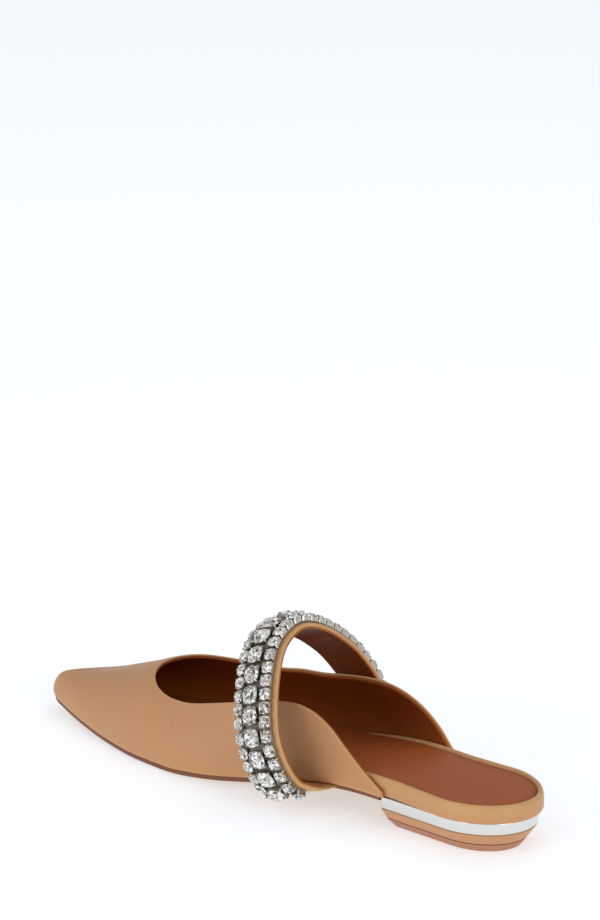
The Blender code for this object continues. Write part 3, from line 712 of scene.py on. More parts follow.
def leather_finish(name, colour, edge_colour, roughness, shine, depth=GRAIN_DEPTH):
    """Smooth finished leather: fine grain, slow changes of tone and an edge colour: darker worked edges, or
    lighter edges that are painted highlights.
    """
    material, tree, shader, place = new_finish(name)
    cloud = add_node(tree, "ShaderNodeTexNoise", {"Vector": place, "Scale": 1 / TONE_PATCH, "Detail": 3.0})
    fine = add_node(tree, "ShaderNodeTexNoise", {"Vector": place, "Scale": 1 / SPECK, "Detail": 4.0})
    cells = add_node(tree, "ShaderNodeTexVoronoi", {"Vector": place, "Scale": 1 / LEATHER_GRAIN})
    tone, speck, dull = (
        add_node(
            tree,
            "ShaderNodeMapRange",
            {"Value": noise.outputs["Fac"], **NOISE_SPAN, "To Min": low, "To Max": high},
        )
        for noise, low, high in (
            (cloud, 0.98, 1.02),
            (fine, 0.98, 1.01),
            (cloud, roughness - 0.04, roughness + 0.05),
        )
    )
    both = add_node(
        tree, "ShaderNodeMath", {0: tone.outputs["Result"], 1: speck.outputs["Result"]}, operation="MULTIPLY"
    )
    base = mixed_colour(tree, "rim", colour, edge_colour)
    toned = add_node(tree, "ShaderNodeVectorMath", {0: base, "Scale": both.outputs[0]}, operation="SCALE")
    height = add_node(
        tree, "ShaderNodeMath", {0: cells.outputs["Distance"], 1: fine.outputs["Fac"]}, operation="ADD"
    )
    bump = add_node(
        tree, "ShaderNodeBump", {"Height": height.outputs[0], "Strength": 0.35, "Distance": depth}
    )
    finish = {
        "Base Color": toned.outputs[0],
        "Roughness": dull.outputs["Result"],
        "Normal": bump.outputs["Normal"],
        "IOR": 1.5,
        "Specular IOR Level": shine,
    }
    set_inputs(tree, shader, finish)
    return material


def mixed_colour(tree, attribute, colour, other):
    """A colour that goes over to another one by an attribute of the mesh."""
    share = add_node(tree, "ShaderNodeAttribute", attribute_name=attribute)
    mixed = add_node(
        tree,
        "ShaderNodeMix",
        {0: share.outputs["Fac"], 6: (*colour, 1.0), 7: (*other, 1.0)},
        data_type="RGBA",
    )
    return mixed.outputs[2]


def metal_finish(name, colour, roughness, wear, bright=None):
    """Polished plated metal, with faint smears that soften what it mirrors, and claws painted brighter: a
    painted highlight.
    """
    material, tree, shader, place = new_finish(name)
    smear = add_node(tree, "ShaderNodeTexNoise", {"Vector": place, "Scale": 1 / SMEAR, "Detail": 3.0})
    span = {"From Min": 0.4, "From Max": 0.8, "To Min": roughness, "To Max": roughness + wear}
    dull = add_node(tree, "ShaderNodeMapRange", {"Value": smear.outputs["Fac"], **span})
    # The claws get their own lighter colour: a painted highlight
    base = (*colour, 1.0) if bright is None else mixed_colour(tree, "claw", colour, bright)
    set_inputs(tree, shader, {"Base Color": base, "Roughness": dull.outputs["Result"], "Metallic": 1.0})
    return material


def crystal_finish(name, tones):
    """Foil-backed cut crystal: each facet is painted its own white, grey or dark, painted reflections that
    stand for the sparkle, under a clear gloss.
    """
    material, tree, shader, _ = new_finish(name)
    shade = add_node(tree, "ShaderNodeAttribute", attribute_name="facet_shade")
    ramp = add_node(tree, "ShaderNodeValToRGB", {"Fac": shade.outputs["Fac"]})
    ramp.color_ramp.interpolation = "CONSTANT"
    stops = ramp.color_ramp.elements
    for i, (share, colour) in enumerate(tones):
        stop = stops[i] if i < 2 else stops.new(share)
        stop.position = share
        stop.color = (*colour, 1.0)
    set_inputs(tree, shader, {"Base Color": ramp.outputs["Color"], "Roughness": 0.08, "IOR": 1.6})
    return material


def net_finish(name, colour):
    """Grey metal netting under the cups, whose dark grey also stands for the shade between the cups (painted
    shade), with a small regular relief.
    """
    material, tree, shader, place = new_finish(name)
    cells = add_node(tree, "ShaderNodeTexVoronoi", {"Vector": place, "Scale": 1 / NET_MESH})
    relief = cells.outputs["Distance"]
    tone = add_node(
        tree, "ShaderNodeMapRange", {"Value": relief, "From Max": 0.6, "To Min": 0.5, "To Max": 1.5}
    )
    toned = add_node(
        tree, "ShaderNodeVectorMath", {0: colour, "Scale": tone.outputs["Result"]}, operation="SCALE"
    )
    bump = add_node(tree, "ShaderNodeBump", {"Height": relief, "Strength": 0.8, "Distance": NET_RELIEF})
    finish = {
        "Base Color": toned.outputs[0],
        "Normal": bump.outputs["Normal"],
        "Roughness": 0.55,
        "Metallic": 0.2,
    }
    set_inputs(tree, shader, finish)
    return material


def paper_finish(name, colour, glow):
    """Matt paper: no gloss, a faint fibre, and a glow of its own that keeps the shadows pale."""
    material, tree, shader, place = new_finish(name)
    fibre = add_node(tree, "ShaderNodeTexNoise", {"Vector": place, "Scale": 1 / PAPER_FIBRE, "Detail": 2.0})
    tone = add_node(
        tree, "ShaderNodeMapRange", {"Value": fibre.outputs["Fac"], "To Min": 0.995, "To Max": 1.0}
    )
    toned = add_node(
        tree, "ShaderNodeVectorMath", {0: colour, "Scale": tone.outputs["Result"]}, operation="SCALE"
    )
    finish = {
        "Base Color": toned.outputs[0],
        "Roughness": 0.9,
        "Specular IOR Level": 0.1,
        "Emission Color": WHITE,
        "Emission Strength": glow,
    }
    set_inputs(tree, shader, finish)
    return material


def plain_mesh(name, bm):
    """The mesh of a bmesh, which is freed."""
    mesh = bpy.data.meshes.new(name)
    bm.to_mesh(mesh)
    bm.free()
    return mesh


def add_object(name, data):
    """A new object in the scene, at the origin."""
    obj = bpy.data.objects.new(name, data)
    bpy.context.scene.collection.objects.link(obj)
    return obj


def finish_piece(name, shape, materials, slot, nodes=(), sharp=35.0):
    """Turns a bmesh or a mesh into a shaded piece that rides on the shoe and stands for CAD nodes."""
    mesh = shape if isinstance(shape, bpy.types.Mesh) else plain_mesh(name, shape)
    mesh.shade_smooth()
    mesh.set_sharp_from_angle(angle=math.radians(sharp))
    for material in materials:
        mesh.materials.append(material)
    piece = add_object(name, mesh)
    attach(piece, "root")
    if nodes:
        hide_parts(*nodes)


def close_across(bm, layer, row, parts, crown):
    """Closes a ring of the plan from its medial to its lateral side, raised along the middle."""
    tip = len(row) // 2
    lines = []
    for i in range(tip + 1):
        first, last = row[i], row[(2 * tip - i) % len(row)]
        breadth = (last.co - first.co).length
        line = [first]
        for j in range(1, parts):
            if first is last:
                line.append(first)
                continue
            share = j / parts
            place = first.co.lerp(last.co, share)
            place.z += crown * min(1.0, breadth / CROWN_BREADTH) * (1 - (2 * share - 1) ** 2)
            vert = bm.verts.new(place)
            vert[layer] = first[layer]
            line.append(vert)
        line.append(last)
        lines.append(line)
    for low, high in zip(lines, lines[1:]):
        for j in range(parts):
            corners = list(dict.fromkeys((low[j], high[j], high[j + 1], low[j + 1])))
            if len(corners) > 2:
                bm.faces.new(corners)


def bridge(bm, rings):
    """Joins each ring of vertices to the next one by faces, which it returns."""
    return [
        bm.faces.new((low[i], low[(i + 1) % len(low)], high[(i + 1) % len(low)], high[i]))
        for low, high in zip(rings, rings[1:])
        for i in range(len(low))
    ]


def loft(rings, rim=None, across=0, crown=0.0):
    """Joins rings of points into one closed surface.

    rim gives each point of each ring its share of the edge colour, which is a worked edge on some pieces and
    a painted highlight on others. The ends are closed by one face each, or from side to side in a number of
    parts.
    """
    bm = bmesh.new()
    layer = bm.verts.layers.float.new("rim")
    rows = []
    for k, ring in enumerate(rings):
        row = [bm.verts.new(point) for point in ring]
        for i, vert in enumerate(row):
            vert[layer] = rim(k, i) if rim else 0.0
        rows.append(row)
    bridge(bm, rows)
    for row, raised in ((rows[0], 0.0), (rows[-1], crown)):
        if across:
            close_across(bm, layer, row, across, raised)
        else:
            bm.faces.new(row)
    return closed(bm)


def closed(bm):
    """Merges doubles and turns every face outwards."""
    bmesh.ops.remove_doubles(bm, verts=bm.verts, dist=0.01 * MM)
    bmesh.ops.dissolve_degenerate(bm, edges=bm.edges, dist=0.001 * MM)
    bmesh.ops.recalc_face_normals(bm, faces=bm.faces)
    if bm.calc_volume(signed=True) < 0.0:
        bmesh.ops.reverse_faces(bm, faces=bm.faces)
    return bm


def quarter_turn(steps):
    """Sine and cosine at even steps of a quarter turn, from 0 to 90 degrees."""
    angles = [math.pi / 2 * i / steps for i in range(steps + 1)]
    return [(math.sin(angle), math.cos(angle)) for angle in angles]


def surface_point(at, across):
    """Point of the last. across is 1 at the medial feather edge, 0 on the ridge, -1 on the far side."""
    side = MEDIAL if across >= 0 else LATERAL
    return last_point(side, at, 1.0 - abs(across))


def resample(places, points, count):
    """Places at even distances along a line, count parts long."""
    travelled = distances_along(points)
    return [place_at(places, travelled, travelled[-1] * i / count) for i in range(count + 1)]


def place_at(places, travelled, distance):
    """Place on a line at a distance from its start."""
    index = 1
    while index < len(places) - 1 and travelled[index] < distance:
        index += 1
    step = travelled[index] - travelled[index - 1]
    part = 0.0 if step == 0 else (distance - travelled[index - 1]) / step
    part = min(1.0, max(0.0, part))
    low, high = places[index - 1], places[index]
    return tuple(a + (b - a) * part for a, b in zip(low, high))


def topline_half(side):
    """Places along the topline from the throat to the collar's end on one side."""
    places = []
    for i in range(TOPLINE_SAMPLES + 1):
        t = i / TOPLINE_SAMPLES
        at = THROAT - (THROAT - COLLAR_END) * t * t
        places.append((at, side * (1.0 - collar_climb(side, at))))
    return resample(places, [surface_point(*place) for place in places], LINES)


def upper_grid():
    """The upper's outer surface as lines from the topline to the feather edge.

    Returns each vertex's place on the last, its point and its distance from the topline, the faces
    with their rows, and the vertices' numbers by line and row.
    """
    halves = {side: topline_half(side) for side in (MEDIAL, LATERAL)}
    order = [(MEDIAL, j) for j in range(LINES, -1, -1)] + [(LATERAL, j) for j in range(1, LINES + 1)]
    index, spots, distances = {}, [], []
    for i, (side, j) in enumerate(order):
        at, across = halves[side][j]
        if j <= TURN_LINE:
            foot = (SECTION, side * j / TURN_LINE)
        else:
            turn_at = halves[side][TURN_LINE][0]
            ahead = max(0.0, (at - FAN_START) / (turn_at - FAN_START))
            foot = (at + (SECTION - turn_at) * ahead, side)
        line = [
            (at + (foot[0] - at) * k / LINE_PARTS, across + (foot[1] - across) * k / LINE_PARTS)
            for k in range(LINE_PARTS + 1)
        ]
        travelled = distances_along([surface_point(*place) for place in line])
        length = travelled[-1]
        depths = [d * min(1.0, length / SHORT_LINE) for d in EDGE_ROWS]
        depths += [depths[-1] + (length - depths[-1]) * k / WALL_ROWS for k in range(1, WALL_ROWS + 1)]
        for row, depth in enumerate(depths):
            index[i, row] = len(spots)
            spots.append(place_at(line, travelled, depth))
            distances.append(depth)
    rows = len(EDGE_ROWS) + WALL_ROWS
    toe = [SECTION + (TIP_START - SECTION) * s / TOE_ROWS for s in range(1, TOE_ROWS + 1)]
    toe += [TIP_START + (1.0 - TIP_START) * up for up, _ in quarter_turn(TIP_ROWS)[1:]]
    columns = range(LINES - TURN_LINE, LINES + TURN_LINE + 1)
    for s, at in enumerate(toe):
        for i in columns:
            if s == len(toe) - 1 and i > LINES:
                index[i, rows + s] = index[2 * LINES - i, rows + s]
                continue
            index[i, rows + s] = len(spots)
            spots.append((at, (LINES - i) / TURN_LINE))
            distances.append(TOE_DISTANCE)
    cells = [(i, j) for i in range(2 * LINES) for j in range(rows - 1)]
    cells += [(i, j) for i in columns[:-1] for j in range(rows - 1, rows - 1 + len(toe))]
    faces = [
        (j, (index[i, j], index[i, j + 1], index[i + 1, j + 1], index[i + 1, j])) for i, j in cells
    ]
    return spots, [surface_point(*spot) for spot in spots], distances, faces, index


def vertex_normals(points, faces):
    """Outward normals of a sheet's points."""
    normals = [Vector() for _ in points]
    for _, corners in faces:
        a, b, c, d = (points[k] for k in corners)
        normal = (c - a).cross(d - b)
        for k in corners:
            normals[k] += normal
    up = sum(normal.z for normal in normals)
    sign = 1.0 if up > 0 else -1.0
    return [normal.normalized() * sign for normal in normals]


def crease_depth_at(point, lines):
    """How far the listed creases move a point: troughs with a soft ridge along both sides."""
    moved = 0.0
    for path, breadth, depth in lines:
        near = min(segment_distance(point, low, high) for low, high in zip(path, path[1:]))
        share = near / breadth
        if share < 3.0:
            moved += depth * (1.0 - 0.9 * share * share) * math.exp(-share * share)
    return moved


def segment_distance(point, low, high):
    """Distance from a point to a line between two points."""
    along = high - low
    share = max(0.0, min(1.0, (point - low).dot(along) / along.length_squared))
    return (point - low - along * share).length


def sheet_shell(grid, normals, first_row, outer, inner, tone, bow=5):
    """A closed wall over part of the upper's grid, with a rounded rim along its top row.

    outer and inner give how far its two faces stand out from the last at a distance from the topline.
    """
    spots, points, distances, faces, index = grid
    bm = bmesh.new()
    layer = bm.verts.layers.float.new("rim")
    kept = [corners for row, corners in faces if row >= first_row]
    used = sorted({k for corners in kept for k in corners})
    out_verts, in_verts = {}, {}
    for k in used:
        at = spots[k][0]
        rise = points[k].z - feather_height(at)
        low = max(0.0, 1.0 - rise / LASTED_EDGE)
        tuck = -LASTED_TUCK * low * low
        d = distances[k]
        for verts, offset in ((out_verts, outer(d)), (in_verts, inner(d))):
            verts[k] = bm.verts.new(points[k] + normals[k] * (offset + tuck))
            verts[k][layer] = tone(d, rise)
    edges = {}
    for corners in kept:
        bm.faces.new([out_verts[k] for k in corners])
        bm.faces.new([in_verts[k] for k in reversed(corners)])
        for a, b in zip(corners, corners[1:] + corners[:1]):
            edges[a, b] = edges.get((a, b), 0) + 1
    top = [index[i, first_row] for i in range(2 * LINES + 1)]
    below = [index[i, first_row + 1] for i in range(2 * LINES + 1)]
    arcs = {}
    for k, under in zip(top, below):
        high, low = out_verts[k].co, in_verts[k].co
        centre, radius = (high + low) / 2, (high - low).length / 2
        beyond = (points[k] - points[under]).normalized()
        beyond = (beyond - normals[k] * beyond.dot(normals[k])).normalized()
        arc = [out_verts[k]]
        for i in range(1, bow):
            angle = math.pi * i / bow
            spot = centre + (high - centre) * math.cos(angle) + beyond * radius * math.sin(angle)
            arc.append(bm.verts.new(spot))
            arc[-1][layer] = out_verts[k][layer]
        arc.append(in_verts[k])
        arcs[k] = arc
    for a, b in edges:
        if (b, a) in edges:
            continue
        if a in arcs and b in arcs:
            for i in range(bow):
                bm.faces.new((arcs[a][i], arcs[a][i + 1], arcs[b][i + 1], arcs[b][i]))
        else:
            bm.faces.new((out_verts[a], in_verts[a], in_verts[b], out_verts[b]))
    for k in (top[0], top[-1]):
        bm.faces.new(arcs[k])
    return closed(bm)


def build_upper(sizes, colours):
    """The tan outer leather with its turned topline, and the brown lining inside it."""
    spots, points, distances, faces, index = upper_grid()
    normals = vertex_normals(points, faces)
    lines = [
        ([surface_point(*place) for place in path], breadth, depth * sizes.crease_depth)
        for path, breadth, depth in CREASES
    ]
    for k, point in enumerate(points):
        fade = share_between(distances[k], 0.0, CREASE_FADE)
        points[k] = point - normals[k] * crease_depth_at(point, lines) * fade
    normals = vertex_normals(points, faces)
    grid = (spots, points, distances, faces, index)
    # Calf with a pressed pigment finish: an even tan with a soft half gloss, painted lighter on its rounded
    # edges as a painted highlight
    tan = leather_finish("tan_calf_leather", colours.tan, colours.tan_edge_highlight, 0.42, 0.30)
    # Dyed lining leather: deep red-brown and close; painted lighter along its folded edge, a painted
    # highlight, and low on its wall, painted bounce light from the footbed
    brown = leather_finish("brown_lining_leather", colours.lining, colours.lining_edge_and_light, 0.40, 0.18)

    # Painted highlight along the turned topline, and half as much lighter near the feather edge
    def leather_highlight_tone(distance, rise):
        return max(0.0, 1.0 - distance / TURNED_EDGE) + 0.5 * max(0.0, 1.0 - rise / LASTED_EDGE)

    # Painted light on the lining: a painted highlight along the bead of its fold, and painted bounce light
    # that grows towards the footbed
    def lining_edge_and_light_tone(distance, rise):
        bead = max(0.0, 1.0 - max(0.0, distance - LINING_START - BEAD_WIDTH) / BEAD_FADE)
        painted_bounce = max(0.0, 1.0 - rise / LINING_BOUNCE_LIGHT)
        return min(1.0, 0.5 * bead + painted_bounce * painted_bounce * 0.9)

    def lining_face(distance):
        share = share_between(distance - LINING_START - BEAD_WIDTH, 0.0, BEAD_STEP)
        return -WALL - LINING_BEAD + LINING_BEAD * share

    leather = sheet_shell(grid, normals, 0, lambda d: 0.0, lambda d: -LINING_BED, leather_highlight_tone)
    finish_piece("upper_leather", leather, [tan], "tan_leather", ["upper"])
    first = EDGE_ROWS.index(LINING_START)
    bed = -LINING_BED - LINING_GLUE
    lining = sheet_shell(grid, normals, first, lambda d: bed, lining_face, lining_edge_and_light_tone)
    finish_piece("upper_lining", lining, [brown], "brown_leather")


def build_outsole(colours):
    """The thin outsole with its burnished edge."""
    # Burnished leather board: brown and slightly glossy along its edge, paler underneath
    sole = leather_finish("burnished_sole_leather", colours.sole, colours.sole_edge, 0.45, 0.30)
    start = share_at(BREAST + GAP)
    profile = [(OUTSOLE_BEVEL * (1 - up), OUTSOLE_BEVEL * (1 - along)) for up, along in quarter_turn(4)]
    profile += [(inset, OUTSOLE_THICK - drop) for inset, drop in SOLE_ROUND]
    rings = [
        plan_ring(lambda at: outsole_inset(at) + extra, lambda at: sole_bottom(at) + rise, start, 120)
        for extra, rise in profile
    ]
    bm = loft(rings, lambda k, i: 1.0 if k > 0 else 0.0, 10)
    finish_piece("sole", bm, [sole], "sole_leather", ["outsole"])


def rim_share(at):
    """1 where the footbed's rim stands up beside the sock, 0 under the vamp, which the sock covers."""
    return 1.0 - eased(share_between(at, *RIM_FADE))


def build_footbed(colours, tan):
    """The leather-wrapped footbed and the sock that is stuck on it."""
    # Thin glued sock leather: smooth, redder than the lining, with a dark cut edge
    sock = leather_finish("brown_sock_leather", colours.sock, colours.sock_edge, 0.42, 0.15, 0.08 * MM)

    def ring(extra, level, rise=0.0, rim=0.0, covered=0.0):
        def inset(at):
            return footbed_inset(at) + extra + (covered - extra) * (1.0 - rim_share(at)) * (covered > 0)

        def height(at):
            return feather_height(at) + footbed_thickness(at) * level + rise + rim * rim_share(at)

        return plan_ring(inset, height, None, 130)

    rings = [ring(extra, level) for extra, level, _ in FOOTBED_SIDE]
    tones = [tone for _, _, tone in FOOTBED_SIDE]
    # The rim's roll is painted lighter towards its crest and less so inside it: a painted highlight on the
    # rim
    for up, along in quarter_turn(7):
        rings.append(ring(RIM_CREST * (1 - along), RIM_START + (1 - RIM_START) * up, 0.0, RIM_HIGH * up))
        tones.append(0.5 + 0.5 * up)
    inner = SOCK_INSET - GAP - RIM_CREST
    for up, along in quarter_turn(6)[1:]:
        rings.append(ring(RIM_CREST + inner * up, 1.0, 0.0, RIM_HIGH * along))
        tones.append(1.0 - 0.9 * up)
    rings.append(ring(SOCK_INSET + 0.6 * MM, 1.0, -0.2 * MM))
    tones.append(0.0)
    footbed = loft(rings, lambda k, i: tones[k], 8)
    finish_piece("footbed_wrap", footbed, [tan], "tan_leather", ["footbed"])
    rings = [ring(SOCK_INSET + extra, 1.0, rise, 0.0, SOCK_COVER + extra) for extra, rise, _ in SOCK_EDGE]
    edge = [tone for _, _, tone in SOCK_EDGE]
    cover = loft(rings, lambda k, i: edge[k], 24, SOCK_CROWN)
    finish_piece("sock_lining", cover, [sock], "brown_leather", ["sock"])


def heel_outline(inset, height, front, steps=72):
    """Plan of the heel at a height: rounded front corners, straight sides and a half ellipse behind."""
    half = HEEL_WIDTH / 2 - inset
    back = HEEL_BACK - inset
    corner = HEEL_CORNER
    points = []
    for up, along in quarter_turn(6):
        points.append(Vector((front - corner + corner * along, half - corner + corner * up, height)))
    for i in range(1, 8):
        points.append(Vector(((front - corner) * (1 - i / 8), half, height)))
    side = len(points)
    for i in range(steps + 1):
        angle = math.pi / 2 + math.pi * i / steps
        points.append(Vector((back * math.cos(angle), half * math.sin(angle), height)))
    mirrored = [Vector((point.x, -point.y, point.z)) for point in reversed(points[:side])]
    return points + mirrored


def build_heel(colours, tan):
    """The mirror-bright band, the wrapped block and the top piece."""
    # Plated steel strip, polished: it mirrors the pale room
    mirror = metal_finish("mirror_plated_metal", colours.mirror, 0.06, 0.06)
    # Moulded rubber: dull and even, a little darker along its edges
    lift = leather_finish(
        "top_piece_rubber", colours.top_piece, colours.top_piece_edge, 0.50, 0.30, 0.05 * MM
    )
    band_top = SEAT_HEIGHT - GAP
    band_low = band_top - BAND_HEIGHT
    block_top = band_low - GAP
    block_low = TOP_PIECE_HEIGHT + GAP

    def layer(name, high, low, taper, bevel, material, slot, node):
        turns = quarter_turn(4)
        profile = [(low + bevel * (1 - along), bevel * (1 - up)) for up, along in turns]
        profile += [(high - bevel * (1 - up), bevel * (1 - along)) for up, along in turns]
        rings = []
        for z, tuck in profile:
            front = BREAST - max(0.0, TOP_PIECE_HEIGHT - z) * BREAST_LEAN
            inset = BAND_OVERHANG + (block_top - z) * taper
            rings.append(heel_outline(inset + tuck, z, front - tuck))
        # Bevel rings take 0.6 of the edge colour: lighter on the tan block, a painted highlight, and darker
        # on the top piece
        bm = loft(rings, lambda k, i: 0.6 if k in (0, 1, 8, 9) else 0.0)
        finish_piece(name, bm, [material], slot, [node])

    layer("heel_mirror_band", band_top, band_low, 0.0, 0.35 * MM, mirror, "mirror_metal", "heel_band")
    layer("heel_wrapped_block", block_top, block_low, HEEL_TAPER, 0.5 * MM, tan, "tan_leather", "heel_block")
    layer("heel_lift", TOP_PIECE_HEIGHT, 0.0, HEEL_TAPER, 0.3 * MM, lift, "top_piece", "heel_top_piece")


def strap_rings(section, span, depth_at):
    """Closed sections along the strap between two values of t.

    A point of the section is its place across and its height over the strap's line. depth_at may
    change the height by t, the place across and the height itself.
    """
    lines = [strap_line(along) for along, _ in section]
    rings = []
    for k in range(STRAP_STEPS + 1):
        t = span[0] + (span[1] - span[0]) * k / STRAP_STEPS
        ring = []
        for line, (along, out) in zip(lines, section):
            place, normal = strap_place(line, t)
            out = depth_at(t, along, out)
            ring.append(place + normal * (out * strap_fullness(line, place) if out < 0 else out))
        rings.append(ring)
    return rings


def lining_span():
    """Values of t between which the strap is lined."""
    line = strap_line(0.0)
    shares = [i / LINING_SAMPLES for i in range(LINING_SAMPLES + 1)]
    inside = [
        share
        for share in shares
        if min((smooth_point(line, share) - end).length for end in (line[0], line[-1])) > LINING_STOP
    ]
    return inside[0], inside[-1]


def build_strap(sizes, tan, brown):
    """The strap's leather with rolled edges, and its lining, a little wrinkled inside the bend."""
    width, roll = STRAP_WIDTH, LEATHER_THICK / 2
    near, far = [], []
    for i in range(13):
        angle = math.pi / 2 + math.pi * i / 12
        near.append((roll + roll * math.cos(angle), -roll + roll * math.sin(angle)))
        far.append((width - roll - roll * math.cos(angle), -roll + roll * math.sin(angle)))
    face = [roll + (width - 2 * roll) * i / 14 for i in range(1, 14)]
    crowned = [(along, strap_crown(along) - strap_crown(roll) * (1 - edge_share(along))) for along in face]
    inside = [(along, -LEATHER_THICK) for along in face]
    section = near + inside + list(reversed(far)) + list(reversed(crowned))
    rolled = set(range(len(near))) | set(range(len(near + face), len(near + face + far)))
    rings = strap_rings(section, (0.0, 1.0), lambda t, along, out: out)
    # The rolled edges take the lighter edge colour: a painted highlight
    leather = loft(rings, lambda k, i: 1.0 if i in rolled else 0.0)
    finish_piece("strap_leather", leather, [tan], "tan_leather", ["strap"])
    start, end = STRAP_SEAM, width - STRAP_SEAM
    bed, raised = -LEATHER_THICK - STRAP_GLUE, -STRAP_THICK
    bead = (bed - raised) / 2
    parts = 30
    flat = [(end - start - 2 * bead) * i / parts for i in range(parts + 1)]
    turns = [math.pi / 2 - math.pi * i / 6 for i in range(1, 6)]
    section = [(start + bead + step, bed) for step in flat]
    for angle in turns:
        section.append((end - bead + bead * math.cos(angle), (bed + raised) / 2 + bead * math.sin(angle)))
    section += [(end - bead - step, raised) for step in flat]
    for angle in turns:
        section.append((start + bead - bead * math.cos(angle), (bed + raised) / 2 - bead * math.sin(angle)))
    span = lining_span()

    def lining_depth(t, along, out):
        return out - wrinkle_at(t, along) * sizes.wrinkle_depth if out == raised else out

    # The lining is lighter along its edge, and the wrinkles' crests get a painted highlight
    def lining_edge_and_light_tone(k, i):
        along = section[i][0]
        beside = max(0.0, 1.0 - min(along - start, end - along) / SEAM_MARGIN)
        t = span[0] + (span[1] - span[0]) * k / STRAP_STEPS
        return min(1.0, beside + max(0.0, wrinkle_at(t, along)) * WRINKLE_TONE)

    rings = strap_rings(section, span, lining_depth)
    finish_piece("strap_lining", loft(rings, lining_edge_and_light_tone), [brown], "brown_leather")


def edge_share(along):
    """1 on the strap's flat face, 0 where it rolls over its edge."""
    return share_between(min(along, STRAP_WIDTH - along) - LEATHER_THICK / 2, 0.0, ROLL_FADE)


def wrinkle_at(t, along):
    """Height of the lining's wrinkles as a share of their depth, none along its edges."""
    height = 0.0
    for centre, slant, breadth, share in WRINKLES:
        offset = (t - centre - slant * (along / STRAP_WIDTH - 0.5)) / breadth
        height += share * (1.0 - offset * offset) * math.exp(-offset * offset)
    beside = min(along, STRAP_WIDTH - along) - STRAP_SEAM - SEAM_MARGIN
    return height * share_between(beside, 0.0, WRINKLE_FADE)


def cup_mesh(size):
    """A square cup with thin walls that dip between four claws, bent in over the stone's edge."""
    bm = bmesh.new()
    claw = bm.faces.layers.float.new("claw")
    half, cut = size / 2 - CUP_EASE, size * CUP_CORNER
    top = wall_height(size)

    def outline(reach, height, dip):
        flat = reach - cut
        spots = []
        for turn in range(4):
            for x, y, low in ((reach, -flat, 0.0), (reach, 0.0, dip), (reach, flat, 0.0)):
                for _ in range(turn):
                    x, y = -y, x
                spots.append(bm.verts.new((x, y, height - low)))
        return spots

    loops = [
        outline(half - CUP_FOOT, 0.0, 0.0),
        outline(half, CUP_FOOT, 0.0),
        outline(half, top, CUP_SCALLOP),
        outline(half - CUP_WALL, top, CUP_SCALLOP),
        outline(half - CUP_WALL, CUP_FLOOR, 0.0),
    ]
    bridge(bm, loops)
    bm.faces.new(list(reversed(loops[0])))
    bm.faces.new(loops[-1])
    corner = (half * 2 - cut) / math.sqrt(2.0)
    stone = size / 2 + STONE_SPREAD * size
    girdle = top + GIRDLE_RISE
    bend = (  # how far out, how high, how broad and how thick the claw is from its foot to its tip
        (corner, CUP_FOOT, 1.0, 0.16 * MM),
        (corner, top - CUP_FOOT, 1.0, 0.16 * MM),
        ((corner + stone) / 2, girdle + 0.15 * MM, 0.9, 0.16 * MM),
        (stone - 0.05 * MM, girdle + 0.42 * MM, 0.75, 0.13 * MM),
        (stone - 0.50 * MM, girdle + 0.50 * MM, 0.45, 0.08 * MM),
    )
    for sx, sy in ((1, 1), (-1, 1), (-1, -1), (1, -1)):
        out = Vector((sx, sy, 0)).normalized()
        side = Vector((-sy, sx, 0)).normalized()
        rings = []
        for reach, height, breadth, thick in bend:
            middle = out * reach + Vector((0, 0, height))
            lean = out + Vector((0, 0, CLAW_LEAN if height > top else 0.0))
            ring = []
            for a, b in ((-1, -1), (1, -1), (1, 1), (-1, 1)):
                spot = middle + side * (a * breadth * PRONG_WIDTH / 2)
                ring.append(bm.verts.new(spot + lean * (b * thick)))
            rings.append(ring)
        for face in bridge(bm, rings):
            face[claw] = 1.0
        bm.faces.new(list(reversed(rings[0])))
        bm.faces.new(rings[-1])[claw] = 1.0
    bmesh.ops.recalc_face_normals(bm, faces=bm.faces)
    return plain_mesh("cup_pattern", bm)


def wall_height(size):
    """Height of a cup's wall at its corners: large cups are a little higher."""
    return CUP_RIM + (size - SMALL_CUP) * CUP_GROWTH


def stone_mesh(size):
    """A round brilliant. Its table is split like the reflections of the facets under it."""
    radius = size / 2 + STONE_SPREAD * size
    base = wall_height(size) + GIRDLE_RISE
    bm = bmesh.new()

    def ring(share, height, count, turn):
        angles = [(i + turn) * 2 * math.pi / count for i in range(count)]
        reach = radius * share
        return [bm.verts.new((reach * math.cos(a), reach * math.sin(a), height)) for a in angles]

    crown = STONE_CROWN * radius
    high = base + crown
    centre = bm.verts.new((0.0, 0.0, high))
    inner = ring(STONE_STAR, high, 8, 0.0)
    table_edge = ring(STONE_TABLE, high, 8, 0.5)
    mid = ring(STONE_MID, base + crown * STONE_MID_HEIGHT, 8, 0.0)
    girdle = ring(1.0, base, 16, 0.0)
    low = ring(1.0, base - GIRDLE_THICK, 16, 0.0)
    tip = bm.verts.new((0.0, 0.0, base - GIRDLE_THICK - radius * STONE_PAVILION))
    for i in range(8):
        j = (i + 1) % 8
        bm.faces.new((centre, inner[i], inner[j]))
        bm.faces.new((inner[i], table_edge[i], inner[j]))
        bm.faces.new((inner[i], table_edge[i - 1], table_edge[i]))
        bm.faces.new((mid[i], table_edge[i], table_edge[i - 1]))
        bm.faces.new((mid[i], mid[j], table_edge[i]))
        here, between, after = girdle[2 * i], girdle[2 * i + 1], girdle[(2 * i + 2) % 16]
        bm.faces.new((mid[i], here, between))
        bm.faces.new((mid[i], between, mid[j]))
        bm.faces.new((mid[j], between, after))
    for i in range(16):
        j = (i + 1) % 16
        bm.faces.new((girdle[i], low[i], low[j], girdle[j]))
        bm.faces.new((low[i], tip, low[j]))
    bmesh.ops.recalc_face_normals(bm, faces=bm.faces)
    return plain_mesh("stone_pattern", bm)


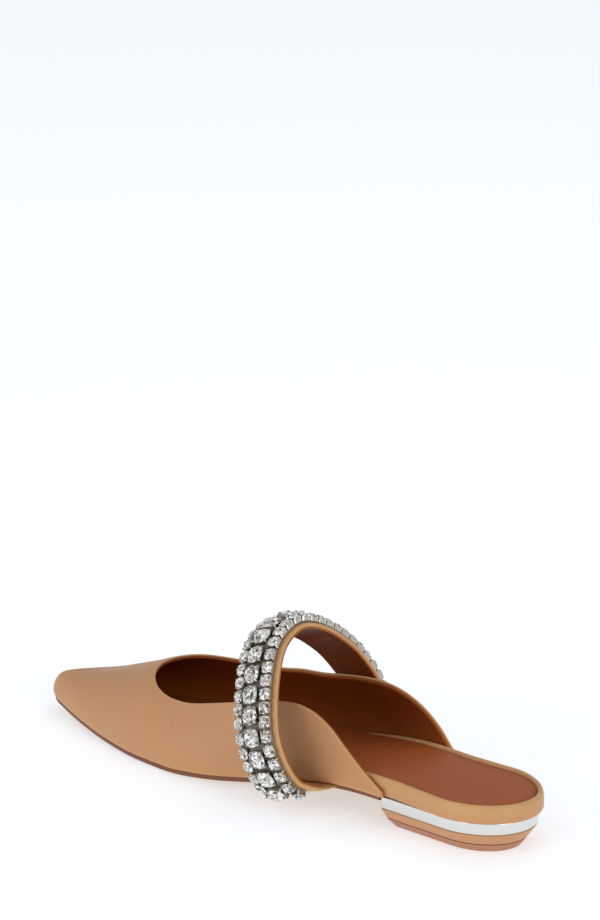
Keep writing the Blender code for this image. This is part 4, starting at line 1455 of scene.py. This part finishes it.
def repeat_tree(name, material):
    """Geometry Nodes that set one pattern on every point, squared up to the strap and a little turned."""
    tree = bpy.data.node_groups.new(name, "GeometryNodeTree")
    for label, way, kind in (
        ("Geometry", "INPUT", "Geometry"),
        ("Pattern", "INPUT", "Object"),
        ("Turn", "INPUT", "Float"),
        ("Tilt", "INPUT", "Float"),
        ("Seed", "INPUT", "Int"),
        ("Geometry", "OUTPUT", "Geometry"),
    ):
        tree.interface.new_socket(label, in_out=way, socket_type="NodeSocket" + kind)
    given = add_node(tree, "NodeGroupInput").outputs
    pattern = add_node(tree, "GeometryNodeObjectInfo", {"Object": given["Pattern"]})
    outward = add_node(
        tree, "GeometryNodeInputNamedAttribute", {"Name": "outward"}, data_type="FLOAT_VECTOR"
    )
    along = add_node(tree, "GeometryNodeInputNamedAttribute", {"Name": "along"}, data_type="FLOAT_VECTOR")
    upright = add_node(
        tree, "FunctionNodeAlignRotationToVector", {"Vector": outward.outputs["Attribute"]}, axis="Z"
    )
    squared = add_node(
        tree,
        "FunctionNodeAlignRotationToVector",
        {"Rotation": upright.outputs["Rotation"], "Vector": along.outputs["Attribute"]},
        axis="X",
        pivot_axis="Z",
    )
    high = add_node(
        tree, "ShaderNodeCombineXYZ", {"X": given["Tilt"], "Y": given["Tilt"], "Z": given["Turn"]}
    )
    low = add_node(tree, "ShaderNodeVectorMath", {0: high.outputs[0], "Scale": -1.0}, operation="SCALE")
    chance = add_node(
        tree,
        "FunctionNodeRandomValue",
        {"Min": low.outputs[0], "Max": high.outputs[0], "Seed": given["Seed"]},
        data_type="FLOAT_VECTOR",
    )
    twist = add_node(tree, "FunctionNodeEulerToRotation", {"Euler": chance.outputs["Value"]})
    turned = add_node(
        tree,
        "FunctionNodeRotateRotation",
        {"Rotation": squared.outputs["Rotation"], "Rotate By": twist.outputs["Rotation"]},
        rotation_space="LOCAL",
    )
    copies = add_node(
        tree,
        "GeometryNodeInstanceOnPoints",
        {
            "Points": given["Geometry"],
            "Instance": pattern.outputs["Geometry"],
            "Rotation": turned.outputs["Rotation"],
        },
    )
    real = add_node(tree, "GeometryNodeRealizeInstances", {"Geometry": copies.outputs["Instances"]})
    # A chance tone for each face, which paints the stones' facets white to dark: painted reflection
    shade = add_node(tree, "FunctionNodeRandomValue", {"Seed": given["Seed"]}, data_type="FLOAT")
    stored = add_node(
        tree,
        "GeometryNodeStoreNamedAttribute",
        {"Geometry": real.outputs["Geometry"], "Name": "facet_shade", "Value": shade.outputs[1]},
        data_type="FLOAT",
        domain="FACE",
    )
    covered = add_node(
        tree, "GeometryNodeSetMaterial", {"Geometry": stored.outputs["Geometry"], "Material": material}
    )
    add_node(tree, "NodeGroupOutput", {"Geometry": covered.outputs["Geometry"]})
    return tree


def repeat_along(name, spots, pattern, material, turn, tilt, seed):
    """Runs the repeat tree over a row's spots and returns the result as a plain mesh."""
    carrier = bpy.data.meshes.new(name)
    carrier.from_pydata([place for place, _, _ in spots], [], [])
    for label, column in (("outward", 1), ("along", 2)):
        attribute = carrier.attributes.new(label, "FLOAT_VECTOR", "POINT")
        for i, spot in enumerate(spots):
            attribute.data[i].vector = spot[column]
    row, model = add_object(name, carrier), add_object(name + "_pattern", pattern)
    tree = repeat_tree(name + "_nodes", material)
    modifier = row.modifiers.new("repeat", "NODES")
    modifier.node_group = tree
    settings = {"Pattern": model, "Turn": turn, "Tilt": tilt, "Seed": seed}
    for item in tree.interface.items_tree:
        if item.in_out == "INPUT" and item.name in settings:
            modifier[item.identifier] = settings[item.name]
    depsgraph = bpy.context.evaluated_depsgraph_get()
    mesh = bpy.data.meshes.new_from_object(row.evaluated_get(depsgraph))
    mesh.name = name
    row.modifiers.remove(modifier)
    bpy.data.objects.remove(row)
    bpy.data.objects.remove(model)
    bpy.data.node_groups.remove(tree)
    return mesh


def row_spots(along, pitch, cup):
    """Place, outward direction and direction along the strap for each cup of a row."""
    count, t_at = evenly_spaced(strap_line(STRAP_WIDTH / 2), pitch)
    offsets = (-cup / 2, 0.0, cup / 2)
    lines = [strap_line(along + x) for x in offsets]
    spots = []
    for i in range(count):
        t = t_at(i + 0.5)
        raised = []
        for line, x in zip(lines, offsets):
            point, normal = strap_place(line, t)
            raised.append(point + normal * (CUP_STAND + strap_crown(along + x)))
        forward = smooth_point(lines[1], t_at(i + 0.9)) - smooth_point(lines[1], t_at(i + 0.1))
        forward.normalize()
        across = (raised[2] - raised[0]).normalized()
        outward = forward.cross(across).normalized()
        if outward.dot(raised[1] - smooth_point(lines[1], t)) < 0:
            outward = -outward
        place = (raised[0] + raised[2]) / 4 + raised[1] / 2
        spots.append((place, outward, forward))
    return spots


def net_strip(along, pitch, breadth):
    """The grey strip that runs through a row of cups and shows between them, where its dark grey stands for
    shade: painted shade.
    """
    count, t_at = evenly_spaced(strap_line(STRAP_WIDTH / 2), pitch)
    shares = (-1.0, -0.5, 0.0, 0.5, 1.0)
    section = [(share * breadth / 2, NET_STAND) for share in shares]
    section += [(share * breadth / 2, NET_STAND + NET_THICK) for share in reversed(shares)]
    lines = [strap_line(along + x) for x, _ in section]
    rings = []
    steps = count * NET_STEPS
    for i in range(steps + 1):
        t = t_at(0.5 + (count - 1.0) * i / steps)
        ring = []
        for line, (x, out) in zip(lines, section):
            place, normal = strap_place(line, t)
            ring.append(place + normal * (out + strap_crown(along + x)))
        rings.append(ring)
    return loft(rings)


def build_trim(sizes, colours):
    """Three rows of round stones in square cups on their net strips."""
    # Stamped brass with bright plate: soft silver walls, and claws painted almost white, a painted highlight
    silver = metal_finish("bright_silver_plate", colours.silver, 0.22, 0.08, colours.claw)
    # Cut glass on foil: hard-edged facets painted from white to dark, painted reflections that stand for
    # their sparkle
    names = ("facet_dark", "facet_grey", "facet_warm", "facet_pale", "facet_light")
    tones = [(share, getattr(colours, name)) for share, name in zip(FACET_SHARES, names)]
    crystal = crystal_finish("foiled_cut_crystal", tones)
    net = net_finish("dark_net_and_painted_shade", colours.net)
    middle = STRAP_WIDTH / 2
    rows = (
        ("rear", middle - ROW_SPACING, SMALL_PITCH, SMALL_CUP),
        ("middle", middle, LARGE_PITCH, LARGE_CUP),
        ("front", middle + ROW_SPACING, SMALL_PITCH, SMALL_CUP),
    )
    for number, (name, along, pitch, cup) in enumerate(rows):
        spots = row_spots(along, pitch, cup)
        seed = sizes.seed + number
        cups = repeat_along(f"cups_{name}", spots, cup_mesh(cup), silver, CUP_TURN, CUP_TILT, seed)
        finish_piece(f"cups_{name}", cups, [], "mirror_metal", [f"trim_row_{name}"])
        stones = repeat_along(
            f"stones_{name}", spots, stone_mesh(cup), crystal, sizes.stone_turn, sizes.stone_tilt, seed
        )
        finish_piece(f"stones_{name}", stones, [], "clear_stones", sharp=FACET_SHARP)
        # The middle strip reaches beyond its cups to darken the gaps between the rows: painted shade
        breadth = cup + NET_BEYOND if name == "middle" else cup - 2 * CUP_EASE - 2 * CUP_WALL
        finish_piece(f"net_{name}", net_strip(along, pitch, breadth), [net], "mirror_metal")


def build_stage(sizes, colours):
    """Pale floor, soft studio light and a camera at the photograph's angle."""
    scene = bpy.context.scene
    scene.view_settings.view_transform = "Standard"
    bm = bmesh.new()
    bmesh.ops.create_grid(bm, x_segments=8, y_segments=8, size=FLOOR_SIZE / 2)
    floor = add_object("studio_floor", plain_mesh("studio_floor", bm))
    floor.data.materials.append(paper_finish("studio_paper", colours.floor, sizes.floor_glow))
    world = bpy.data.worlds.new("studio_white")
    scene.world = world
    world.use_nodes = True
    surround = world.node_tree.nodes["Background"]
    set_inputs(world.node_tree, surround, {"Color": WHITE, "Strength": sizes.fill_light})
    for name, spot, size, power in LAMPS:
        data = bpy.data.lights.new(name, "AREA")
        data.shape = "DISK"
        data.size = size
        data.energy = power * sizes.key_light
        lamp = add_object(name, data)
        lamp.location = spot
        aim = Vector(LAMP_AIM) - Vector(spot)
        lamp.rotation_euler = aim.to_track_quat("-Z", "Y").to_euler()
    data = bpy.data.cameras.new("photo_view")
    data.sensor_width = CAMERA_SENSOR
    data.lens = CAMERA_LENS
    data.clip_end = CAMERA_REACH
    camera = add_object("photo_view", data)
    right, up, forward = (Vector(axis) for axis in CAMERA_AXES)
    turn = Matrix((right, up, -forward)).transposed()
    camera.matrix_world = Matrix.Translation(Vector(CAMERA_PLACE) * MM) @ turn.to_4x4()
    scene.camera = camera


def amount_property(name, description, default, most, **kind):
    """A setting that goes from nothing to the most that makes sense."""
    return FloatProperty(name=name, description=description, default=default, min=0.0, max=most, **kind)


class MuleSizes(bpy.types.PropertyGroup):
    """Sizes of the finish that a user would change."""

    crease_depth: amount_property(
        "Crease depth", "Each crease of the upper has a share of this", 0.5 * MM, 2.0 * MM, unit="LENGTH"
    )
    wrinkle_depth: amount_property(
        "Wrinkle depth", "Depth of the strap lining's wrinkles", 0.4 * MM, 1.0 * MM, unit="LENGTH"
    )
    stone_turn: amount_property(
        "Stone turn",
        "Largest chance turn of a stone about its own axis",
        math.radians(22.0),
        math.radians(180.0),
        unit="ROTATION",
        subtype="ANGLE",
    )
    stone_tilt: amount_property(
        "Stone tilt",
        "Largest chance tilt of a stone in its cup",
        math.radians(2.5),
        math.radians(10.0),
        unit="ROTATION",
        subtype="ANGLE",
    )
    seed: IntProperty(
        name="Seed", description="Start of the chance turns and facet tones", default=7, min=0
    )
    fill_light: amount_property("Fill light", "Strength of the white surround", 0.58, 5.0)
    key_light: amount_property("Key light", "Factor on the power of the lamps", 1.0, 5.0)
    floor_glow: amount_property(
        "Floor glow", "Light of the paper itself, which keeps the shadows pale", 0.45, 2.0
    )


def colour_property(name, description, code):
    """A colour setting with its default as an sRGB hex value."""
    return FloatVectorProperty(
        name=name,
        description=description,
        subtype="COLOR",
        size=3,
        min=0.0,
        max=1.0,
        default=linear(code),
    )


class MuleColours(bpy.types.PropertyGroup):
    """Colours of the finishes."""

    tan: colour_property("Tan leather", "Outer leather of upper, strap, footbed and heel", "#C08D62")
    # Lighter tan on the leather's rounded edges: a painted highlight
    tan_edge_highlight: colour_property("Tan edge", "The same leather along its worked edges", "#C89A68")
    lining: colour_property("Lining", "Lining of the upper and the strap", "#6C2F10")
    # Lighter brown for the lining's edges, its folded bead, the foot of its wall and the strap lining's
    # wrinkle crests: partly painted highlight and painted bounce light
    lining_edge_and_light: colour_property("Lining edge", "Edge of the lining", "#B06128")
    sock: colour_property("Sock", "Leather that covers the footbed", "#A4542A")
    sock_edge: colour_property("Sock edge", "Cut edge of the sock", "#5A2C14")
    sole: colour_property("Sole", "Underside of the outsole", "#B08A62")
    sole_edge: colour_property("Sole edge", "Burnished edge of the outsole", "#7A4A30")
    top_piece: colour_property("Top piece", "Layer of the heel that touches the floor", "#AF7D61")
    top_piece_edge: colour_property("Top piece edge", "The same along its edges", "#8E5F49")
    mirror: colour_property("Mirror metal", "Plated band of the heel", "#DDDCD8")
    silver: colour_property("Silver cups", "Plated cups of the trim", "#B4AFA4")
    # Claws painted almost white: a painted highlight
    claw: colour_property("Claws", "Claws that hold the stones", "#F0EDE6")
    # Facet tones painted on the stones: painted reflections
    facet_dark: colour_property("Dark facets", "Darkest facets of the stones", "#524F4C")
    facet_grey: colour_property("Grey facets", "Grey facets of the stones", "#8C8884")
    facet_warm: colour_property("Warm facets", "Facets with a warm grey", "#B8B2A6")
    facet_pale: colour_property("Pale facets", "Pale facets of the stones", "#D8D7D8")
    facet_light: colour_property("Light facets", "Lightest facets of the stones", "#FFFFFF")
    # Dark grey of the net, which also stands for the shade between the cups: painted shade
    net: colour_property("Net", "Net strips under the cups", "#6A645A")
    floor: colour_property("Floor", "Paper floor of the studio", "#E0E6EE")


class MULE_OT_stage(bpy.types.Operator):
    """Add the pale floor, the soft light and the camera"""

    bl_idname = "mule.stage"
    bl_label = "Stage"

    def execute(self, context):
        build_stage(context.scene.mule_sizes, context.scene.mule_colours)
        return {"FINISHED"}


class MULE_OT_upper(bpy.types.Operator):
    """Add the upper's leather and its lining"""

    bl_idname = "mule.upper"
    bl_label = "Upper"

    def execute(self, context):
        build_upper(context.scene.mule_sizes, context.scene.mule_colours)
        return {"FINISHED"}


class MULE_OT_sole(bpy.types.Operator):
    """Add the outsole, the wrapped footbed and the sock"""

    bl_idname = "mule.sole"
    bl_label = "Sole and footbed"

    def execute(self, context):
        colours = context.scene.mule_colours
        build_outsole(colours)
        build_footbed(colours, bpy.data.materials["tan_calf_leather"])
        return {"FINISHED"}


class MULE_OT_heel(bpy.types.Operator):
    """Add the three layers of the heel"""

    bl_idname = "mule.heel"
    bl_label = "Heel"

    def execute(self, context):
        build_heel(context.scene.mule_colours, bpy.data.materials["tan_calf_leather"])
        return {"FINISHED"}


class MULE_OT_strap(bpy.types.Operator):
    """Add the strap and its lining"""

    bl_idname = "mule.strap"
    bl_label = "Strap"

    def execute(self, context):
        tan = bpy.data.materials["tan_calf_leather"]
        brown = bpy.data.materials["brown_lining_leather"]
        build_strap(context.scene.mule_sizes, tan, brown)
        return {"FINISHED"}


class MULE_OT_trim(bpy.types.Operator):
    """Add the three rows of stones in their cups"""

    bl_idname = "mule.trim"
    bl_label = "Jewelled trim"

    def execute(self, context):
        build_trim(context.scene.mule_sizes, context.scene.mule_colours)
        return {"FINISHED"}


class MULE_PT_sidebar(bpy.types.Panel):
    """Lists the pieces with their sizes and colours"""

    bl_label = "Mule"
    bl_space_type = "VIEW_3D"
    bl_region_type = "UI"
    bl_category = "Mule"

    def draw(self, context):
        for settings in (context.scene.mule_sizes, context.scene.mule_colours):
            for key in settings.bl_rna.properties.keys():
                if key not in {"rna_type", "name"}:
                    self.layout.prop(settings, key)
        for operator in OPERATORS:
            self.layout.operator(operator.bl_idname)


OPERATORS = (MULE_OT_stage, MULE_OT_upper, MULE_OT_sole, MULE_OT_heel, MULE_OT_strap, MULE_OT_trim)
CLASSES = (MuleSizes, MuleColours, *OPERATORS, MULE_PT_sidebar)


def register():
    """Adds the classes and the two groups of settings."""
    for cls in CLASSES:
        bpy.utils.register_class(cls)
    bpy.types.Scene.mule_sizes = PointerProperty(type=MuleSizes)
    bpy.types.Scene.mule_colours = PointerProperty(type=MuleColours)


def unregister():
    """Takes them out again, in the opposite order."""
    del bpy.types.Scene.mule_colours
    del bpy.types.Scene.mule_sizes
    for cls in reversed(CLASSES):
        bpy.utils.unregister_class(cls)


def main():
    """Makes every piece."""
    register()
    bpy.ops.mule.stage()
    bpy.ops.mule.upper()
    bpy.ops.mule.sole()
    bpy.ops.mule.heel()
    bpy.ops.mule.strap()
    bpy.ops.mule.trim()


if __name__ == "__main__":
    main()
